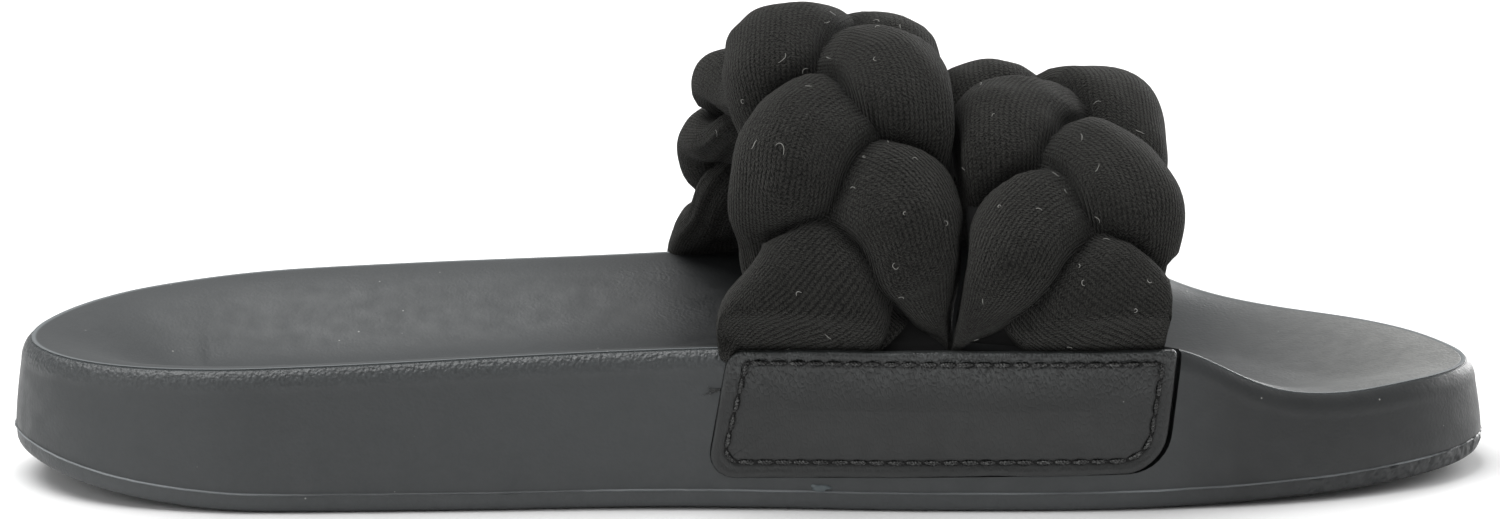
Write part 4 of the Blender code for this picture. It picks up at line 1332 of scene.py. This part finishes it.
def press_together(strands):
    """Deepens the creases where strands meet, puckers the cloth there, and stores how near each point is to one."""
    trees, points, normals = {}, {}, {}
    for obj, _ in strands:
        mesh = obj.data
        co = np.zeros(len(mesh.vertices) * 3, np.float32)
        no = np.zeros(len(mesh.vertices) * 3, np.float32)
        mesh.vertices.foreach_get("co", co)
        mesh.vertices.foreach_get("normal", no)
        points[obj.name] = co.reshape(-1, 3) / MM
        normals[obj.name] = no.reshape(-1, 3)
        sides = [tuple(p.vertices) for p in mesh.polygons if len(p.vertices) == 4]
        trees[obj.name] = BVHTree.FromPolygons([tuple(map(float, p)) for p in points[obj.name]], sides)
    for obj, rows in strands:
        own, facing = points[obj.name], normals[obj.name]
        gap = np.full(len(own), 9.0)
        for other, _ in strands:
            if other is obj:
                continue
            tree = trees[other.name]
            box_low, box_high = points[other.name].min(0) - 6, points[other.name].max(0) + 6
            for i in np.nonzero(((own > box_low) & (own < box_high)).all(1))[0]:
                place, normal, _, distance = tree.find_nearest(Vector(own[i].tolist()), 6.0)
                if place is None:
                    continue
                if (Vector(own[i].tolist()) - place).dot(normal) < 0:
                    distance = -distance
                gap[i] = min(gap[i], distance)
        count = STRAND_POINTS
        grid = gap.reshape(-1, count)
        for _ in range(3):
            grid = (np.roll(grid, 1, 1) + 2 * grid + np.roll(grid, -1, 1)) / 4
            grid[1:-1] = (grid[:-2] + 2 * grid[1:-1] + grid[2:]) / 4
        gap = grid.reshape(-1)
        outside = np.maximum(gap, 0.0)
        sink = 0.9 * np.exp(-((outside / 1.3) ** 1.6))
        rib = np.tile(np.arange(count), len(gap) // count) * (RIBS / count)
        row = np.repeat(np.arange(len(gap) // count), count)
        pucker = 0.10 * np.sin(rib * 2 * math.pi / 5.2 + 1.7 * np.sin(row / 17.0)) * np.exp(-outside / 3.2)
        pucker += 0.06 * np.sin(rib * 2 * math.pi / 2.9 + 2.3 * np.sin(row / 11.0 + 1.0)) * np.exp(-outside / 2.0)
        high = smoothstep(31.5, 35.0, own[:, 2])
        moved = own - facing * ((sink - pucker) * high)[:, None]
        mesh = obj.data
        mesh.vertices.foreach_set("co", (moved * MM).astype(np.float32).reshape(-1))
        # crease: nearness to another strand, which the jersey paints dark as shade
        for name, values in (
            ("crease", np.exp(-((outside / 1.3) ** 1.5)) * (0.25 + 0.75 * high)),
            ("tuck", np.exp(-((outside / 3.0) ** 1.5))),
        ):
            layer = mesh.attributes.new(name, "FLOAT", "POINT")
            layer.data.foreach_set("value", values.astype(np.float32))
        mesh.update()


def make_core(name, material):
    """The gathered cloth between a braid's strands, seen only deep in its creases, coloured near black as painted
    shade.
    """
    size = BRAIDS[name]
    run, line, _, normal = arch_line(size)
    s = np.linspace(2.0, run[-1] - 2.0, 90)
    place, out = sample(run, line, s), sample(run, normal, s)
    tangent = np.gradient(place, axis=0)
    tangent /= np.linalg.norm(tangent, axis=1)[:, None]
    across = np.cross(tangent, out)
    angle = np.linspace(0, 2 * math.pi, 32, endpoint=False)
    # wide enough to close the valley beside the other braid, narrower at the free edge
    facing = size["mirror"] * float(np.sign(across[len(s) // 2, 0]))
    reach = np.where(facing * np.cos(angle) > 0, CORE_HALF_WIDTH, CORE_FREE_HALF_WIDTH)
    # over the top the taller braid's filling droops to meet the lower braid's, so no gap shows between them
    top = 1 - smoothstep(16.0, 30.0, np.abs(place[:, 1]))
    droop = np.where(facing * np.cos(angle) > 0, -9.0 * np.cos(angle) ** 2, 0.0) * (name == "braid_rear")
    points = (
        place[:, None, :]
        + across[:, None, :] * (reach * np.cos(angle))[None, :, None]
        + out[:, None, :] * ((CORE_HALF_THICKNESS * np.sin(angle))[None, :] + top[:, None] * droop[None, :])[:, :, None]
    ).reshape(-1, 3)
    limit = valley_x(points[:, 1], points[:, 2])
    if name == "braid_rear":
        points[:, 0] = np.minimum(points[:, 0], limit - 0.4)
    else:
        points[:, 0] = np.maximum(points[:, 0], limit + 0.4)
    for side in (-1, 1):
        chosen = points[:, 1] * side > 0
        points[chosen] = clamp_base(points[chosen], side, np.ones(int(chosen.sum())))
        shift = PANEL_SHIFT[side]
        low = np.interp(points[:, 2], (28.0, 31.0, 40.0), (-3.0, -3.0, -30.0)) + shift
        high = np.interp(points[:, 2], (28.0, 31.0, 40.0), (69.0, 69.0, 95.0)) + shift
        points[chosen, 0] = np.clip(points[:, 0], low, high)[chosen]
    faces = grid_faces(len(s), 32)
    faces.append(tuple(range(32))[::-1])
    faces.append(tuple((len(s) - 1) * 32 + i for i in range(32)))
    obj = new_piece(f"{name}_filling", points, faces)
    outward(obj)
    set_material(obj, material)
    return obj


# ---------------------------------------------------------------- small marks
LINT = (
    # across, down: places on the near side of the braids, in the picture's own units; long: length in mm
    (778, 63, 2.6),
    (808, 69, 1.8),
    (812, 86, 1.5),
    (744, 103, 1.4),
    (757, 140, 1.9),
    (783, 155, 3.4),
    (877, 61, 1.6),
    (895, 263, 2.2),
    (944, 221, 1.5),
    (978, 339, 1.3),
    (831, 339, 1.6),
    (866, 157, 1.2),
    (1081, 134, 2.0),
    (1144, 134, 1.7),
    (1001, 207, 1.4),
    (1036, 209, 1.2),
    (1068, 348, 1.7),
    (1134, 310, 1.5),
    (824, 23, 1.6),
    (716, 130, 1.6),
    (905, 215, 1.2),
    (1010, 60, 1.4),
    (965, 170, 1.1),
    (1110, 240, 1.3),
)


def make_lint(strands, material):
    """Tiny pale fibres lying on the cloth."""
    azimuth, elevation = math.radians(-4.21), math.radians(12.39)
    back = Vector(
        (
            math.sin(azimuth) * math.cos(elevation),
            -math.cos(azimuth) * math.cos(elevation),
            math.sin(elevation),
        )
    )
    right = Vector((math.cos(azimuth), math.sin(azimuth), 0.0))
    up = back.cross(right)
    eye = (Vector((0.0002, -0.0026, 0.03707)) + back * 1.61065) / MM
    rng = np.random.RandomState(8)
    for name in BRAIDS:
        points, sides = [], []
        for obj, _ in strands:
            if not obj.name.startswith(name):
                continue
            offset = len(points)
            points += [tuple(v.co / MM) for v in obj.data.vertices]
            sides += [tuple(i + offset for i in p.vertices) for p in obj.data.polygons if len(p.vertices) == 4]
        tree = BVHTree.FromPolygons(points, sides)
        middle = Vector((sum(BRAIDS[name]["centre_x"]) / 5.0, 0.0, 30.0))
        rays = []
        for across, down, long in LINT:
            aim = right * ((across - 750.0) / 8910.0) - up * ((down - 259.5) / 8910.0) - back
            rays.append((eye, aim.normalized(), long))
        # and some on the rest of the cloth
        for _ in range(26):
            angle, lift = rng.uniform(-0.4, math.pi + 0.4), rng.uniform(0.0, 0.9)
            aim = Vector((rng.uniform(-0.35, 0.35), math.cos(angle), math.sin(angle) + 0.1)).normalized()
            rays.append((middle + aim * 150.0, -aim, rng.uniform(0.9, 2.2)))
        vertices, faces = [], []
        for start, aim, long in rays:
            place, normal, _, _ = tree.ray_cast(start, aim)
            if place is None:
                continue
            if normal.dot(aim) > 0:
                normal = -normal
            heading = Vector(rng.uniform(-1, 1, 3).tolist())
            heading = (heading - normal * heading.dot(normal)).normalized()
            steps = 11
            bend = rng.uniform(-0.5, 0.5)
            line = []
            for n in range(steps):
                line.append(tuple(place + normal * (0.07 + 0.10 * math.sin(math.pi * n / (steps - 1)) ** 2)))
                heading = (heading + normal.cross(heading) * (bend + rng.uniform(-0.35, 0.35))).normalized()
                place = place + heading * (long / (steps - 1))
                near, facing, _, gap = tree.find_nearest(place, 3.0)
                if near is None:
                    break
                place = near
                if facing.dot(normal) < 0:
                    facing = -facing
                normal = facing
                heading = (heading - normal * heading.dot(normal)).normalized()
            if len(line) < 4:
                continue
            v, made = tube(line, [0.055 * (0.5 + 0.5 * math.sin(math.pi * (n + 0.5) / len(line))) for n in range(len(line))], 5)
            offset = len(vertices)
            vertices += v
            faces += [tuple(i + offset for i in face) for face in made]
        obj = new_piece(f"{name}_lint", vertices, faces)
        outward(obj)
        set_material(obj, material)


def make_marks(thread, glue_material):
    """Loose thread ends beside the near panel, and a smear of glue on the parting line."""
    rng = np.random.RandomState(5)
    vertices, faces = [], []
    for n in range(9):
        s = np.linspace(0, 1, 9)
        long = rng.uniform(1.4, 3.4)
        x = -7.7 - long * s
        z = 21.7 + rng.uniform(-0.5, 0.5) * s + rng.uniform(-0.9, 0.9) * s**2 + 0.15 * np.sin(7 * s + n)
        out = 0.12 + 0.45 * s * rng.uniform(0.2, 1.0)
        v, made = tube(panel_point(x, z, -1, out), 0.075 * (1.1 - 0.7 * s), 5)
        offset = len(vertices)
        vertices += list(v)
        faces += [tuple(i + offset for i in face) for face in made]
    tuft = new_piece("side_panel_inner_thread_ends", vertices, faces)
    outward(tuft)
    set_material(tuft, thread)
    rings, count = 5, 28
    angle = np.linspace(0, 2 * math.pi, count, endpoint=False)
    ragged = 1 + 0.16 * np.sin(3 * angle + 0.6) + 0.10 * np.sin(5 * angle + 2.0) + 0.05 * np.sin(9 * angle)
    vertices = []
    for k in range(rings + 1):
        share = k / rings
        x = 9.85 + 1.75 * share * ragged * np.cos(angle)
        z = 4.15 + 0.68 * share * ragged * np.sin(angle)
        out = 0.42 * math.sqrt(max(0.0, 1 - share**6)) + 0.03
        vertices += list(panel_point(x, z, -1, np.full(count, out)))
    made = grid_faces(rings + 1, count)
    glue = new_piece("parting_glue", vertices, made)
    bm = bmesh.new()
    bm.from_mesh(glue.data)
    bmesh.ops.remove_doubles(bm, verts=bm.verts, dist=1e-6)
    bm.to_mesh(glue.data)
    bm.free()
    set_material(glue, glue_material)


# ---------------------------------------------------------------- build
def look_at(obj, target):
    direction = Vector(target) - obj.location
    obj.rotation_euler = direction.to_track_quat("-Z", "Y").to_euler()


def make_camera():
    azimuth, elevation = math.radians(-4.21), math.radians(12.39)
    target = Vector((0.0002, -0.0026, 0.03707))
    back = Vector(
        (
            math.sin(azimuth) * math.cos(elevation),
            -math.cos(azimuth) * math.cos(elevation),
            math.sin(elevation),
        )
    )
    data = bpy.data.cameras.new("camera")
    data.sensor_width = 36.0
    data.lens = 8910.0 / 1500.0 * 36.0
    data.clip_start, data.clip_end = 0.05, 20.0
    camera = bpy.data.objects.new("camera", data)
    bpy.context.scene.collection.objects.link(camera)
    camera.location = target + back * 1.61065
    look_at(camera, target)
    bpy.context.scene.camera = camera


def area_light(name, energy, size, place, target, colour=(1, 1, 1), size_y=None):
    data = bpy.data.lights.new(name, "AREA")
    data.energy = energy
    data.size = size
    if size_y:
        data.shape = "RECTANGLE"
        data.size_y = size_y
    data.color = colour
    light = bpy.data.objects.new(name, data)
    bpy.context.scene.collection.objects.link(light)
    light.location = place
    look_at(light, target)
    return light


def make_stage():
    mesh = bpy.data.meshes.new("floor")
    side = 6.0
    mesh.from_pydata(
        [(-side, -side, -0.0002), (side, -side, -0.0002), (side, side, -0.0002), (-side, side, -0.0002)], [], [(0, 1, 2, 3)]
    )
    floor = bpy.data.objects.new("floor", mesh)
    bpy.context.scene.collection.objects.link(floor)
    material, tree, shader = new_material("floor_paper")
    place = add(tree, "ShaderNodeTexCoord").outputs["Object"]
    fine = noise(tree, place, 30.0, 2.0)
    base = mix_colour(tree, fine, (0.90, 0.90, 0.90), (0.93, 0.93, 0.93))
    link(tree, base, shader.inputs["Base Color"])
    shader.inputs["Roughness"].default_value = 0.9
    shader.inputs["Specular IOR Level"].default_value = 0.1
    mesh.materials.append(material)
    world = bpy.data.worlds.new("studio")
    bpy.context.scene.world = world
    world.use_nodes = True
    background = world.node_tree.nodes["Background"]
    background.inputs[0].default_value = (1.0, 1.0, 1.0, 1.0)
    background.inputs[1].default_value = 0.42
    area_light("toe_side", 3.5, 0.5, (1.1, 0.42, 0.36), (0.1, 0.0, 0.02))
    area_light("toe_back", 7.0, 0.4, (0.62, 0.80, 0.26), (0.12, 0.0, 0.03))
    area_light("overhead", 27.0, 1.4, (-0.45, 0.15, 1.45), (0.0, 0.0, 0.0))
    area_light("front_left", 4.0, 0.7, (-1.3, -0.9, 0.7), (0.0, 0.0, 0.03))
    scene = bpy.context.scene
    scene.view_settings.view_transform = "Standard"
    scene.view_settings.look = "None"
    scene.view_settings.exposure = 0.0
    scene.view_settings.gamma = 1.0


def main():
    make_camera()
    foam = foam_material("foam", (0.038, 0.0415, 0.0430))
    foam_low = foam_material("foam_low", (0.050, 0.054, 0.056), True)
    jersey = jersey_material("jersey")
    leather = leather_material("leather_look")
    thread = plain_detail_material("thread", (0.006, 0.006, 0.0062), 0.33, 5000.0, 0.00002)
    thread.node_tree.nodes["Principled BSDF"].inputs["Specular IOR Level"].default_value = 0.55
    # painted glints: the thread is painted paler in specks where fibres in the ply would catch the light
    tree = thread.node_tree
    thread_painted_glints = noise(tree, add(tree, "ShaderNodeTexCoord").outputs["Object"], 2600.0, 2.0, 0.7)
    thread_painted_glints = mix_colour(tree, map_range(tree, thread_painted_glints, 0.50, 0.66, 0.0, 1.0), (0.0035, 0.0035, 0.0036), (0.105, 0.108, 0.104))
    link(tree, thread_painted_glints, tree.nodes["Principled BSDF"].inputs["Base Color"])
    # near black for the needle holes and the braids' filling, as painted shade deep in holes and creases
    dark_cloth = plain_detail_material("dark_cloth", (0.006, 0.006, 0.006), 0.95)

    midsole = make_midsole()
    for side, word in ((-1, "inner"), (1, "outer")):
        room = grown(PANEL_CORNERS, 0.1, 1.0)
        cut(midsole, recess_cutter(side, f"recess_{word}", room, False))
        cut(midsole, recess_cutter(side, f"slot_{word}", room, True))
    midsole.data.shade_smooth()
    midsole.data.set_sharp_from_angle(angle=math.radians(38))
    mark_sole(midsole)
    set_material(midsole, foam)
    outsole = make_outsole()
    set_material(outsole, foam_low)

    for side, word in ((-1, "inner"), (1, "outer")):
        set_material(make_panel(side, word), leather)
        set_material(make_stitches(side, word, dark_cloth), thread)

    strands = []
    for name in BRAIDS:
        for strand in range(3):
            strands.append(make_strand(name, strand, jersey))
        make_core(name, dark_cloth)
    press_together(strands)
    lint = plain_detail_material("lint", (0.36, 0.36, 0.34), 0.8, 4000.0, 0.00002)
    make_lint(strands, lint)
    glue = plain_detail_material("glue", (0.070, 0.086, 0.092), 0.35, 1200.0, 0.00005)
    make_marks(thread, glue)

    make_stage()


main()
